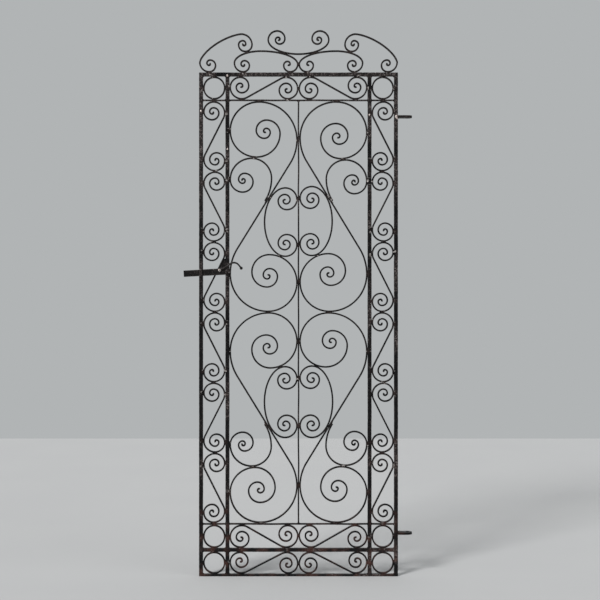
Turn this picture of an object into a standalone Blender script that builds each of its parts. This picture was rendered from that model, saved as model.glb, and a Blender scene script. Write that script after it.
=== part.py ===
"""A tall wrought-iron garden gate: a bar frame filled with forged scrolls, a scrolled crest,
a lift latch on the left and two hinge eyes on the right.

Metres, +Z up. X runs across the gate, Y through it with the front towards -Y. The origin is
the middle of the bottom rail's underside. Every scroll is a flat bar bent on edge in the
gate's own plane, drawn by its centre line as quarter turns between the places where it runs
level or upright. A scroll touches its neighbours at those places, with FIT_GAP left for weld.
"""
import math

import bpy
import numpy as np

# ---- driving sizes -------------------------------------------------------------------------
GATE_WIDTH = 0.661          # over the outer stiles
GATE_HEIGHT = 1.674         # floor to the top of the top rail
BAR_WIDE = 0.0130           # stiles, across the gate
BAR_DEEP = 0.0130           # stiles and thick rails, through the gate
SIDE_BAY = 0.0747           # clear width between an outer and an inner stile

TOP_RAIL_HIGH = 0.0126
LOWER_RAIL_HIGH = 0.0118
BOTTOM_RAIL_HIGH = 0.0072
THIN_RAIL_HIGH = 0.0050
THIN_RAIL_DEEP = 0.0090
CENTRE_BAR_WIDE = 0.0050

TOP_ROW = 0.0770            # clear height between the top rail and the upper thin rail
MIDDLE_ROW = 0.0777         # clear height between the lower thin rail and the lower rail
BOTTOM_ROW = 0.0740         # clear height between the lower rail and the bottom rail

SCROLL_THICK = 0.0050       # bar of every scroll, seen from the front
SCROLL_DEEP = 0.0090        # the same bar, through the gate
FIT_GAP = 0.0003            # left between any two pieces that touch

SIDE_SCROLLS = 6            # S-scrolls stacked in each side bay
FACET_SAG = 0.0022          # how far a bent bar's flats may cut inside its true curve
FACET_SHARE = 0.3
SEAT_PLACES = 49            # places tried before a scroll is let down onto its neighbour
SEAT_HALVINGS = 24          # and how often the last step is halved

CREST_ARCH_HIGH = 0.0716    # top rail to the middle of the crest's long arches
CROWN_SPREAD = 0.1007       # half the width of the crest's centre scroll, to its widest place
CROWN_DISH = 0.0470         # how deep that scroll's open bowl is

LATCH_LENGTH = 0.145        # pivot to tip
LATCH_HIGH = 0.0220
LATCH_THICK = 0.0060
LATCH_BELOW = 0.0420        # the pivot, below the top of the straight of the scroll behind it
LATCH_SCROLL = 2            # which scroll down the side bay that is, counted from 0
LATCH_DROOP = math.radians(3.2)
LATCH_LIFT = math.radians(12.0)
PIVOT_RADIUS = 0.0040
PIVOT_CLEAR = 0.0004        # round the pivot, in the bar and in the stile
PIVOT_HEAD = 0.0075
PIVOT_HEAD_HIGH = 0.0035
NUT_ACROSS = 0.0130
NUT_HIGH = 0.0055
RIVET_RADIUS = 0.0030
RIVET_HEAD = 0.0048
RIVET_HEAD_HIGH = 0.0022
RIVET_INSET = 0.0255        # pivot to rivet
TAIL_PAD = 0.0065           # half width of the handle's pad, round the rivet
TAIL_PAD_THICK = 0.0032
TAIL_RADIUS = 0.0029        # the handle's round stem, tapering to
TAIL_NECK_RADIUS = 0.0021   # this at its knob
TAIL_KNOB = 0.0052          # radius of the knob
TAIL_SLOPE = math.radians(12)         # the stem leaves the pad at this climb
TAIL_STEM = (0.080, math.radians(21))   # radius and turn of the stem's slow climb
TAIL_RISE = 0.020           # straight after it
TAIL_CURL = (0.020, math.radians(-84))  # radius and turn of the curl over its top
TAIL_TIP = 0.019            # straight that ends in the knob
# The handle's section along its pad: (pad half widths from the end, share of the half width)
TAIL_PAD_SHAPE = ((0.0, 0.45), (0.15, 0.75), (0.6, 1.0), (1.85, 0.90))
TAIL_SHOULDER = 2.4         # where the pad has narrowed to the stem, in pad half widths
TAIL_STEM_START = 3.2       # and where the round stem begins
DOME = ((1.0, 0.45), (0.65, 0.85))      # a forged head: shares of its height and of its radius
GUIDE_WIDE = 0.0100
GUIDE_LEG = 0.0040
GUIDE_PLAY = 0.0015         # between the bar's front and the guide
GUSSET_HIGH = 0.0330
GUSSET_THICK = 0.0040

HINGE_REACH = 0.0320        # outer stile to the pin's centre
HINGE_THICK = 0.0080
HINGE_END = 0.0150          # radius of the eye's round end
HINGE_BORE = 0.0060         # radius of the pin hole
HINGE_TOP_DROP = 0.147      # the upper eye, below the gate's top
HINGE_BOTTOM_LEVEL = 0.1435

# ---- spirals: the radius of each quarter turn, from the outside in --------------------------
# Shares of the space the scroll fills; the first two add up to one where it fills that space.
# Every spiral ends in an eye, tighter still: so many scroll thicknesses, and a share of the
# last quarter's radius, turned through its own angle.
EYE_THICKS = 0.30
EYE_SHARE = 0.35
EYE_SWEEP = math.radians(120)
SMALL_STEP = 0.070          # a small spiral tightens by this share at every quarter turn
SMALL_TURNS = 7
# The four big scrolls were coiled by eye, so their ends differ a little.
HEAD_TURNS = {"upper_latch": (0.570, 0.430, 0.396, 0.351, 0.203, 0.154, 0.120, 0.090, 0.060, 0.040),
              "upper_hinge": (0.540, 0.460, 0.390, 0.300, 0.226, 0.180, 0.130, 0.100, 0.065, 0.045),
              "lower_latch": (0.550, 0.450, 0.373, 0.300, 0.225, 0.172, 0.133, 0.100, 0.060, 0.040),
              "lower_hinge": (0.550, 0.450, 0.385, 0.305, 0.215, 0.178, 0.133, 0.100, 0.060, 0.040)}
TAIL_TURNS = {"upper_latch": (0.565, 0.435, 0.415, 0.260, 0.225, 0.158, 0.118, 0.095, 0.060, 0.040),
              "upper_hinge": (0.560, 0.440, 0.425, 0.255, 0.220, 0.160, 0.115, 0.090, 0.060, 0.040),
              "lower_latch": (0.575, 0.425, 0.400, 0.276, 0.218, 0.166, 0.118, 0.095, 0.060, 0.040),
              "lower_hinge": (0.575, 0.425, 0.385, 0.322, 0.222, 0.150, 0.115, 0.090, 0.060, 0.040)}
SPUR_TURNS = (0.320, 0.187, 0.155, 0.127, 0.090, 0.060, 0.039, 0.030)
HEART_CLEAR = 0.280         # from the centre bar, level with the heart's top, to the diagonal
# Shares of the way from a corner of the heart's space to the line between its next corners.
HEART_TURNS = (0.246, 0.215, 0.182, 0.140, 0.112, 0.087, 0.059)
# Shares of the radius that would leave a bend no straight to run into.
HEAD_NECK = 0.263           # where the big scroll leaves the centre bar
HIP_NECK = 0.284            # where it arrives at the stile
SPUR_SHOULDER = 0.900       # where the spur turns down to the diagonal
# Metres.
HORN_TURNS = (0.0312, 0.0209, 0.0183, 0.0105, 0.0070)        # crest, outer scroll, lower end
HORN_CURL_TURNS = (0.0354, 0.0223, 0.0223, 0.0136, 0.0103, 0.0060)   # its upper end
ARCH_FOOT_TURNS = (0.0292, 0.0206, 0.0166, 0.0113, 0.0075)   # crest arch, outer end
ARCH_MIDDLE_TURNS = (0.0250, 0.0216, 0.0130, 0.0083)         # crest arch, inner end
HORN_FULLNESS = 1.5         # the horn's long back is flatter than an ellipse
CROWN_TURNS = (0.0299, 0.0256, 0.0179, 0.0136, 0.0090, 0.0060)
# Shares of half the gate's width, out from its middle.
ARCH_FOOT_OUT = 0.645
ARCH_TOP_OUT = 0.378
HORN_TOP_OUT = 0.575

# ---- finishes: colour, roughness, metallic --------------------------------------------------
PAINT = ((0.012, 0.012, 0.013), 0.34, 0.0)
WORN_PAINT = ((0.020, 0.017, 0.016), 0.45, 0.2)
BARE_IRON = ((0.33, 0.30, 0.27), 0.38, 0.9)

UP = math.pi / 2
DOWN = -math.pi / 2
RIGHT = 0.0
LEFT = math.pi
LEFTWARD = 1                # turning to the left of the way the bar runs
RIGHTWARD = -1


# ---- bent centre lines: rows of x, z and the way the bar runs there --------------------------
def facets(radius, sweep):
    """How many flats a bend needs so that none cuts more than FACET_SAG inside the curve.

    However tight it is, a flat never cuts more than FACET_SHARE of the radius."""
    flat = 2 * math.acos(1 - min(FACET_SAG / radius, FACET_SHARE))
    return max(2, math.ceil(abs(sweep) / flat))


def bend(start, heading, radius, sweep):
    """An arc that leaves start along heading and turns by sweep, positive to the left."""
    side = math.copysign(1, sweep)
    centre_x = start[0] - radius * side * math.sin(heading)
    centre_z = start[1] + radius * side * math.cos(heading)
    headings = heading + sweep * np.linspace(0, 1, facets(radius, sweep) + 1)
    x = centre_x + radius * side * np.sin(headings)
    z = centre_z - radius * side * np.cos(headings)
    return np.column_stack([x, z, headings])


def quarter(start, heading, turn, along, across, fullness=2.0):
    """A quarter of an ellipse: ends `along` ahead of start and `across` to the turning side.

    A fullness under 2 flattens it towards the straight line, as in Lame's curve."""
    t = np.linspace(0, math.pi / 2, facets(max(along, across), math.pi / 2) + 1)
    power = 2 / fullness
    ahead = along * np.sin(t) ** power
    aside = across * (1 - np.cos(t) ** power) * turn
    way = np.arctan2(across * np.cos(t) ** (power - 1) * np.sin(t),
                     along * np.sin(t) ** (power - 1) * np.cos(t))
    x = start[0] + ahead * math.cos(heading) - aside * math.sin(heading)
    z = start[1] + ahead * math.sin(heading) + aside * math.cos(heading)
    return np.column_stack([x, z, heading + turn * way])


def spiral(start, heading, turn, radii):
    """Quarter turns one after another, each with its own radius, and the eye at the end."""
    eye = EYE_THICKS * SCROLL_THICK + EYE_SHARE * radii[-1]
    rows = np.array([[start[0], start[1], heading]])
    for radius, sweep in [(radius, math.pi / 2) for radius in radii] + [(eye, EYE_SWEEP)]:
        x, z, way = rows[-1]
        rows = join(rows, bend((x, z), way, radius, turn * sweep))
    return rows


def crossing(start, heading, turn, first_radius, end, last_radius):
    """Arc, straight, opposite arc: the diagonal of an S, running along heading at both ends.

    The straight is the inner common tangent of the two circles. Returns the rows, and the
    straight's own start and end."""
    ahead = np.array([math.cos(heading), math.sin(heading)])
    aside = np.array([-math.sin(heading), math.cos(heading)]) * turn
    gap = np.subtract(end, start)
    across = gap @ aside - first_radius - last_radius
    apart = math.hypot(across, gap @ ahead)
    sweep = math.atan2(across, gap @ ahead) + math.asin((first_radius + last_radius) / apart)
    run = math.sqrt(apart ** 2 - (first_radius + last_radius) ** 2)
    first = bend(start, heading, first_radius, turn * sweep)
    far = ahead_of(first[-1], run)
    last = bend(far, first[-1, 2], last_radius, -turn * sweep)
    return join(first, last, keep_start=True), (first[-1, :2], np.array(far))


def ahead_of(row, run):
    """The point a straight run on from a row."""
    return row[0] + run * math.cos(row[2]), row[1] + run * math.sin(row[2])


def reverse(rows):
    """The same bar walked from its other end."""
    return np.column_stack([rows[::-1, 0], rows[::-1, 1], rows[::-1, 2] + math.pi])


def join(first, *others, keep_start=False):
    """Bars that run on from each other; the shared point is kept once."""
    parts = [first] + [rows if keep_start else rows[1:] for rows in others]
    return np.vstack(parts)


def mirror_x(rows, about=0.0):
    return np.column_stack([2 * about - rows[:, 0], rows[:, 1], math.pi - rows[:, 2]])


def mirror_z(rows, about):
    return np.column_stack([rows[:, 0], 2 * about - rows[:, 1], -rows[:, 2]])


def clearance(rows, others):
    """Smallest distance between two centre lines, measured from points to straight flats."""
    def to_flats(points, line):
        a = line[:-1, None, :2]
        step = line[1:, None, :2] - a
        share = ((points[None, :, :2] - a) * step).sum(-1) / (step ** 2).sum(-1)
        nearest = a + np.clip(share, 0, 1)[..., None] * step
        return np.linalg.norm(points[None, :, :2] - nearest, axis=-1).min()
    return min(to_flats(rows, others), to_flats(others, rows))


def seat(shape, other, free, far):
    """Moves a value from free towards far until shape(value) first touches other."""
    target = SCROLL_THICK + FIT_GAP
    places = np.linspace(free, far, SEAT_PLACES)
    reached = next(k for k, value in enumerate(places) if clearance(shape(value), other) < target)
    free, touching = places[max(reached - 1, 0)], places[reached]
    for _ in range(SEAT_HALVINGS):
        middle = (free + touching) / 2
        if clearance(shape(middle), other) > target:
            free = middle
        else:
            touching = middle
    return shape(free)


# ---- making solids --------------------------------------------------------------------------
def clear_scene():
    for old in list(bpy.data.objects):
        bpy.data.objects.remove(old, do_unlink=True)


def finish_material(name, finish):
    colour, roughness, metallic = finish
    material = bpy.data.materials.new(name + "_finish")
    material.use_nodes = True
    shader = material.node_tree.nodes["Principled BSDF"]
    shader.inputs["Base Color"].default_value = (*colour, 1.0)
    shader.inputs["Roughness"].default_value = roughness
    shader.inputs["Metallic"].default_value = metallic
    material.diffuse_color = (*colour, 1.0)
    return material


def add_piece(name, vertices, faces, place, finish=PAINT, parent=None):
    """Adds a solid whose points are given in the gate's frame, with its origin at place."""
    place = np.asarray(place, dtype=float)
    mesh = bpy.data.meshes.new(name)
    mesh.from_pydata((np.asarray(vertices) - place).tolist(), [], faces)
    mesh.materials.append(finish_material(name, finish))
    piece = bpy.data.objects.new(name, mesh)
    bpy.context.collection.objects.link(piece)
    piece.location = place
    if parent is not None:
        piece.parent = parent
        piece.location = place - np.array(parent.location)
    return piece


def add_bar(name, low, high, finish=PAINT):
    """A square or flat bar from its lowest to its highest corner, with its origin between."""
    low = np.asarray(low, dtype=float)
    high = np.asarray(high, dtype=float)
    corners = [(x, y, z) for x in (0, 1) for y in (0, 1) for z in (0, 1)]
    faces = [(0, 1, 3, 2), (4, 6, 7, 5), (0, 4, 5, 1), (2, 3, 7, 6), (0, 2, 6, 4), (1, 5, 7, 3)]
    return add_piece(name, low + np.array(corners) * (high - low), faces, (low + high) / 2, finish)


def add_scroll(name, rows):
    """A flat bar along a centre line: SCROLL_THICK wide from the front, SCROLL_DEEP through."""
    across = np.column_stack([-np.sin(rows[:, 2]), np.cos(rows[:, 2])]) * SCROLL_THICK / 2
    corners = [(1, -1), (1, 1), (-1, 1), (-1, -1)]
    vertices = np.empty((len(rows), 4, 3))
    for corner, (side, depth) in enumerate(corners):
        vertices[:, corner, 0] = rows[:, 0] + side * across[:, 0]
        vertices[:, corner, 1] = depth * SCROLL_DEEP / 2
        vertices[:, corner, 2] = rows[:, 1] + side * across[:, 1]
    faces = [(0, 1, 2, 3), tuple(4 * len(rows) - 1 - k for k in range(4))]
    for station in range(len(rows) - 1):
        for corner in range(4):
            here = 4 * station + corner
            beside = 4 * station + (corner + 1) % 4
            faces.append((here, here + 4, beside + 4, beside))
    middle = (rows[:, :2].min(axis=0) + rows[:, :2].max(axis=0)) / 2
    return add_piece(name, vertices.reshape(-1, 3), faces, (middle[0], 0, middle[1]))


def add_ring(name, centre, half_width, half_height):
    """A closed ring of the same flat bar, as wide and as high as the place it stands in.

    Its facets come in fours, so that it has a corner wherever it touches."""
    count = 4 * math.ceil(facets(max(half_width, half_height), 2 * math.pi) / 4)
    angles = np.linspace(0, 2 * math.pi, count, endpoint=False)
    vertices = []
    for inset, depth in ((0, -1), (0, 1), (SCROLL_THICK, 1), (SCROLL_THICK, -1)):
        y = np.full(count, depth * SCROLL_DEEP / 2)
        vertices.append(np.column_stack([centre[0] + (half_width - inset) * np.cos(angles), y,
                                         centre[1] + (half_height - inset) * np.sin(angles)]))
    faces = []
    for k in range(count):
        after = (k + 1) % count
        for loop in range(4):
            other = (loop + 1) % 4
            faces.append((loop * count + k, other * count + k, other * count + after, loop * count + after))
    return add_piece(name, np.vstack(vertices), faces, (centre[0], 0, centre[1]))


def add_plate(name, outline, axis, low, high, finish=PAINT, parent=None):
    """A flat plate: an outline pushed through from low to high along the X, Y or Z axis.

    The outline runs anticlockwise as seen from +X, from the front (-Y) or from above."""
    place = {"X": lambda u, v, level: (level, u, v),
             "Y": lambda u, v, level: (u, level, v),
             "Z": lambda u, v, level: (u, v, level)}[axis]
    near, far = (low, high) if axis == "Y" else (high, low)
    vertices = [place(u, v, level) for level in (near, far) for u, v in outline]
    count = len(outline)
    faces = [tuple(range(count)), tuple(2 * count - 1 - k for k in range(count))]
    faces += [(k, k + count, (k + 1) % count + count, (k + 1) % count) for k in range(count)]
    return add_piece(name, vertices, faces, np.mean(vertices, axis=0), finish, parent)


def add_turned(name, centre, profile, finish=PAINT, parent=None, sides=24):
    """A round piece on a Y axis through centre; profile lists (y, radius) from front to back."""
    angles = np.linspace(0, 2 * math.pi, sides, endpoint=False)
    vertices = []
    for y, radius in profile:
        vertices += [(centre[0] + radius * math.cos(a), y, centre[1] + radius * math.sin(a)) for a in angles]
    last = (len(profile) - 1) * sides
    faces = [tuple(range(sides)), tuple(last + sides - 1 - k for k in range(sides))]
    for step in range(len(profile) - 1):
        for k in range(sides):
            after = (k + 1) % sides
            faces.append((step * sides + k, (step + 1) * sides + k,
                          (step + 1) * sides + after, step * sides + after))
    return add_piece(name, vertices, faces, (centre[0], profile[0][0], centre[1]), finish, parent)


def add_rod(name, rows, stations, back, finish=PAINT, parent=None, sides=12):
    """A forged rod along a centre line, its back flat against the plane y = back.

    stations lists (share of the length, half width, half depth)."""
    steps = np.linalg.norm(np.diff(rows[:, :2], axis=0), axis=1)
    along = np.concatenate([[0], np.cumsum(steps)])
    angles = np.linspace(0, 2 * math.pi, sides, endpoint=False)
    vertices = []
    for share, half_width, half_depth in stations:
        at = share * along[-1]
        x, z, way = (np.interp(at, along, rows[:, column]) for column in range(3))
        side = half_width * np.cos(angles)
        vertices.append(np.column_stack([x - side * math.sin(way),
                                         back - half_depth + half_depth * np.sin(angles),
                                         z + side * math.cos(way)]))
    last = (len(stations) - 1) * sides
    faces = [tuple(range(sides)), tuple(last + sides - 1 - k for k in range(sides))]
    for step in range(len(stations) - 1):
        for k in range(sides):
            here, beside = step * sides + k, step * sides + (k + 1) % sides
            faces.append((here, here + sides, beside + sides, beside))
    return add_piece(name, np.vstack(vertices), faces, (rows[0, 0], back, rows[0, 1]), finish, parent)


def cut(piece, cutter):
    """Cuts a piece with a hidden solid."""
    cutter.hide_render = True
    cutter.display_type = "WIRE"
    modifier = piece.modifiers.new("cut_" + cutter.name, "BOOLEAN")
    modifier.operation = "DIFFERENCE"
    modifier.solver = "EXACT"
    modifier.object = cutter


def circle(centre, radius, sides, start=0.0, sweep=2 * math.pi):
    """Points round a circle, anticlockwise; a full circle doesn't repeat its first point."""
    full = abs(sweep) >= 2 * math.pi
    steps = sides if full else sides + 1
    return [(centre[0] + radius * math.cos(start + sweep * k / sides),
             centre[1] + radius * math.sin(start + sweep * k / sides)) for k in range(steps)]


# ---- where the bars stand -------------------------------------------------------------------
OUTER_FACE = GATE_WIDTH / 2
BAY_OUTER = OUTER_FACE - BAR_WIDE                 # a side bay's outer edge
BAY_INNER = BAY_OUTER - SIDE_BAY                  # and its inner edge
PANEL_EDGE = BAY_INNER - BAR_WIDE                 # the middle panel's edge
HALF_DEEP = BAR_DEEP / 2

BOTTOM_RAIL_TOP = BOTTOM_RAIL_HIGH
LOWER_RAIL_UNDER = BOTTOM_RAIL_TOP + BOTTOM_ROW
LOWER_RAIL_TOP = LOWER_RAIL_UNDER + LOWER_RAIL_HIGH
LOWER_THIN_UNDER = LOWER_RAIL_TOP + MIDDLE_ROW
PANEL_FLOOR = LOWER_THIN_UNDER + THIN_RAIL_HIGH
TOP_RAIL_UNDER = GATE_HEIGHT - TOP_RAIL_HIGH
UPPER_THIN_TOP = TOP_RAIL_UNDER - TOP_ROW
PANEL_CEILING = UPPER_THIN_TOP - THIN_RAIL_HIGH
PANEL_MIDDLE = (PANEL_FLOOR + PANEL_CEILING) / 2

TOUCH = SCROLL_THICK / 2 + FIT_GAP                # centre line to the face it touches
MEET = (SCROLL_THICK + FIT_GAP) / 2               # centre line to the line where two scrolls meet
PIVOT_X = -(PANEL_EDGE + BAR_WIDE / 2)


# ---- frame ----------------------------------------------------------------------------------
def make_frame():
    """Outer stiles run full height, the rails stand between them, and the inner stiles stand
    between the bottom and top rails, halved over the lower rail and punched for the thin ones."""
    reach = BAY_OUTER - FIT_GAP
    rails = {}
    for name, low, high, deep in (("top_rail", TOP_RAIL_UNDER, GATE_HEIGHT, BAR_DEEP),
                                  ("bottom_rail", 0.0, BOTTOM_RAIL_TOP, BAR_DEEP),
                                  ("lower_rail", LOWER_RAIL_UNDER, LOWER_RAIL_TOP, BAR_DEEP),
                                  ("upper_thin_rail", PANEL_CEILING, UPPER_THIN_TOP, THIN_RAIL_DEEP),
                                  ("lower_thin_rail", LOWER_THIN_UNDER, PANEL_FLOOR, THIN_RAIL_DEEP)):
        rails[name] = add_bar(name, (-reach, -deep / 2, low), (reach, deep / 2, high))
    for name, side in (("latch", -1), ("hinge", 1)):
        edges = sorted((side * OUTER_FACE, side * BAY_OUTER))
        add_bar("outer_stile_" + name, (edges[0], -HALF_DEEP, 0.0), (edges[1], HALF_DEEP, GATE_HEIGHT))
        edges = sorted((side * BAY_INNER, side * PANEL_EDGE))
        stile = add_bar("inner_stile_" + name,
                        (edges[0], -HALF_DEEP, BOTTOM_RAIL_TOP + FIT_GAP),
                        (edges[1], HALF_DEEP, TOP_RAIL_UNDER - FIT_GAP))
        wide = (edges[0] - FIT_GAP, edges[1] + FIT_GAP)
        # the stile keeps its back half where the lower rail crosses, the rail its front half
        cut(stile, add_bar("notch_stile_" + name,
                           (wide[0], -BAR_DEEP, LOWER_RAIL_UNDER - FIT_GAP),
                           (wide[1], FIT_GAP / 2, LOWER_RAIL_TOP + FIT_GAP)))
        cut(rails["lower_rail"], add_bar("notch_rail_" + name,
                                         (wide[0], -FIT_GAP / 2, LOWER_RAIL_UNDER - BAR_WIDE),
                                         (wide[1], BAR_DEEP, LOWER_RAIL_TOP + BAR_WIDE)))
        slot = THIN_RAIL_DEEP / 2 + FIT_GAP
        for level, low, high in (("upper", PANEL_CEILING, UPPER_THIN_TOP),
                                 ("lower", LOWER_THIN_UNDER, PANEL_FLOOR)):
            cut(stile, add_bar("slot_" + level + "_" + name,
                               (wide[0] - BAR_WIDE, -slot, low - FIT_GAP),
                               (wide[1] + BAR_WIDE, slot, high + FIT_GAP)))
        if side < 0:
            hole = PIVOT_RADIUS + PIVOT_CLEAR
            cut(stile, add_turned("pivot_hole", (PIVOT_X, latch_level()),
                                  [(-BAR_DEEP, hole), (BAR_DEEP, hole)]))
    add_bar("centre_bar",
            (-CENTRE_BAR_WIDE / 2, -THIN_RAIL_DEEP / 2, PANEL_FLOOR + FIT_GAP),
            (CENTRE_BAR_WIDE / 2, THIN_RAIL_DEEP / 2, PANEL_CEILING - FIT_GAP))


# ---- small S-scrolls and rings --------------------------------------------------------------
def small_radii(span):
    """A small spiral that fills span across, tightening by the same step each quarter turn."""
    first = span * (1 + SMALL_STEP) / 2
    return [first - span * SMALL_STEP * k for k in range(SMALL_TURNS)]


def upright_s(left, right, floor, ceiling):
    """An S standing in a bay: its diagonal falls from the upper right to the lower left.

    Both spirals fill the bay's width. The lower end is the upper one turned half round."""
    radii = small_radii(right - left)
    upper = (right, ceiling - radii[0])
    lower = (left, floor + radii[0])
    diagonal, straight = crossing(upper, DOWN, RIGHTWARD, radii[0], lower, radii[0])
    top = reverse(spiral(upper, UP, LEFTWARD, radii))
    bottom = spiral(lower, DOWN, LEFTWARD, radii)
    return join(top, diagonal, bottom), straight


def lying_s(left, right, floor, ceiling):
    """An S lying in a row: its diagonal climbs from the lower left to the upper right."""
    radii = small_radii(ceiling - floor)
    near = (left + radii[0], floor)
    far = (right - radii[0], ceiling)
    diagonal, _ = crossing(near, RIGHT, LEFTWARD, radii[0], far, radii[0])
    first = reverse(spiral(near, LEFT, RIGHTWARD, radii))
    return join(first, diagonal, spiral(far, RIGHT, RIGHTWARD, radii))


def side_scroll(number):
    """Centre line and straight of one S in the latch side's bay, counted down from 0."""
    pitch = (PANEL_CEILING - PANEL_FLOOR) / SIDE_SCROLLS
    last = number == SIDE_SCROLLS - 1
    ceiling = PANEL_CEILING - number * pitch - (TOUCH if number == 0 else MEET)
    floor = PANEL_CEILING - (number + 1) * pitch + (TOUCH if last else MEET)
    rows, straight = upright_s(-BAY_OUTER + TOUCH, -BAY_INNER - TOUCH, floor, ceiling)
    if number % 2:
        rows = mirror_x(rows, -(BAY_OUTER + BAY_INNER) / 2)
    return rows, straight


def make_side_scrolls():
    """Both side bays; the diagonals zigzag down each bay."""
    for number in range(SIDE_SCROLLS):
        rows, _ = side_scroll(number)
        add_scroll("side_scroll_latch_%d" % (number + 1), rows)
        add_scroll("side_scroll_hinge_%d" % (number + 1), mirror_x(rows))


def make_rows():
    """A pair of lying S-scrolls and, in the side bays, a ring in each of the three rows."""
    rows_of_gate = (("top", UPPER_THIN_TOP, TOP_RAIL_UNDER, False),
                    ("middle", LOWER_RAIL_TOP, LOWER_THIN_UNDER, True),
                    ("bottom", BOTTOM_RAIL_TOP, LOWER_RAIL_UNDER, False))
    for name, floor, ceiling, upside_down in rows_of_gate:
        scroll = lying_s(-PANEL_EDGE + TOUCH, -MEET, floor + TOUCH, ceiling - TOUCH)
        if upside_down:
            scroll = mirror_z(scroll, (floor + ceiling) / 2)
        add_scroll("row_scroll_%s_latch" % name, scroll)
        add_scroll("row_scroll_%s_hinge" % name, mirror_x(scroll))
        centre_x = (BAY_OUTER + BAY_INNER) / 2
        for side, x in (("latch", -centre_x), ("hinge", centre_x)):
            add_ring("ring_%s_%s" % (name, side), (x, (floor + ceiling) / 2),
                     SIDE_BAY / 2 - FIT_GAP, (ceiling - floor) / 2 - FIT_GAP)


# ---- the middle panel -----------------------------------------------------------------------
def panel_quadrant(head_turns, tail_turns):
    """The three scrolls of a panel quadrant, drawn as its upper one on the latch side.

    The big scroll's head fills the quadrant's width under the upper thin rail, its diagonal
    crosses to the stile, and its tail fills the width again down to the panel's middle. The
    spur hangs under the head and runs out along the diagonal. The heart scroll stands between
    the diagonal, the centre bar and the tail."""
    left = -PANEL_EDGE + TOUCH
    right = -CENTRE_BAR_WIDE / 2 - TOUCH
    wide = right - left
    ceiling = PANEL_CEILING - TOUCH
    floor = PANEL_MIDDLE + MEET

    neck = (right, ceiling - head_turns[0] * wide)
    hip = (left, floor + tail_turns[0] * wide)
    head = spiral(neck, UP, LEFTWARD, [share * wide for share in head_turns])
    tail = spiral(hip, DOWN, LEFTWARD, [share * wide for share in tail_turns])
    tall = neck[1] - hip[1]
    fullest = (wide ** 2 + tall ** 2) / (2 * wide)   # both necks together, with no straight left
    diagonal, (high, low) = crossing(neck, DOWN, RIGHTWARD, HEAD_NECK * fullest,
                                     hip, HIP_NECK * fullest)
    big = join(reverse(head), diagonal, tail)

    # the spur hangs under the head and its loose end runs out flat against the diagonal
    run = (low - high) / np.linalg.norm(low - high)
    outward = np.array([run[1], -run[0]])            # from the diagonal, towards the stile
    upright, lean = abs(outward[0]), outward[1]

    def spur(crest_z):
        crest = np.array([left + SPUR_TURNS[0] * wide, crest_z])
        curl = spiral(crest, LEFT, LEFTWARD, [share * wide for share in SPUR_TURNS])
        room = (crest - high) @ outward - SCROLL_THICK - FIT_GAP
        shoulder = bend(crest, RIGHT, SPUR_SHOULDER * room / (1 + lean), -math.pi / 2)
        spare = (shoulder[-1, :2] - high) @ outward - SCROLL_THICK - FIT_GAP
        run_out = bend(shoulder[-1, :2], DOWN, spare / (1 - upright), -math.acos(upright))
        return join(reverse(curl), shoulder, run_out)

    chin = ceiling - (head_turns[1] + head_turns[2]) * wide
    spur_rows = seat(spur, head, chin - 3 * SCROLL_THICK, chin + SCROLL_THICK)

    # the heart scroll's back is a half ellipse that touches the diagonal from the other side
    top = high[1] - (HEART_CLEAR * wide + (right - high[0]) * outward[0]) / lean
    space = top - floor - (tail_turns[1] + tail_turns[2]) * wide
    radii = [share * wide * space / math.hypot(wide, space) for share in HEART_TURNS]
    axis_x = right - radii[0]

    def heart(bottom):
        half = (top - bottom) / 2
        centre = np.array([axis_x, top - half])
        room = (high - centre) @ outward - SCROLL_THICK - FIT_GAP
        back = math.sqrt(room ** 2 - (half * lean) ** 2) / upright
        upper = reverse(spiral((axis_x, top), RIGHT, RIGHTWARD, radii))
        lower = spiral((axis_x, bottom), RIGHT, LEFTWARD, radii)
        first = quarter((axis_x, top), LEFT, LEFTWARD, back, half)
        second = quarter(tuple(first[-1, :2]), DOWN, LEFTWARD, half, back)
        return join(upper, first, second, lower)

    heart_rows = seat(heart, tail, top - 4 * radii[0], floor)
    return big, spur_rows, heart_rows


def make_panel():
    for side in ("latch", "hinge"):
        for level in ("upper", "lower"):
            quadrant = level + "_" + side
            scrolls = panel_quadrant(HEAD_TURNS[quadrant], TAIL_TURNS[quadrant])
            for name, rows in zip(("big_scroll", "spur_scroll", "heart_scroll"), scrolls):
                if level == "lower":
                    rows = mirror_z(rows, PANEL_MIDDLE)
                if side == "hinge":
                    rows = mirror_x(rows)
                add_scroll(name + "_" + quadrant, rows)


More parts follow.
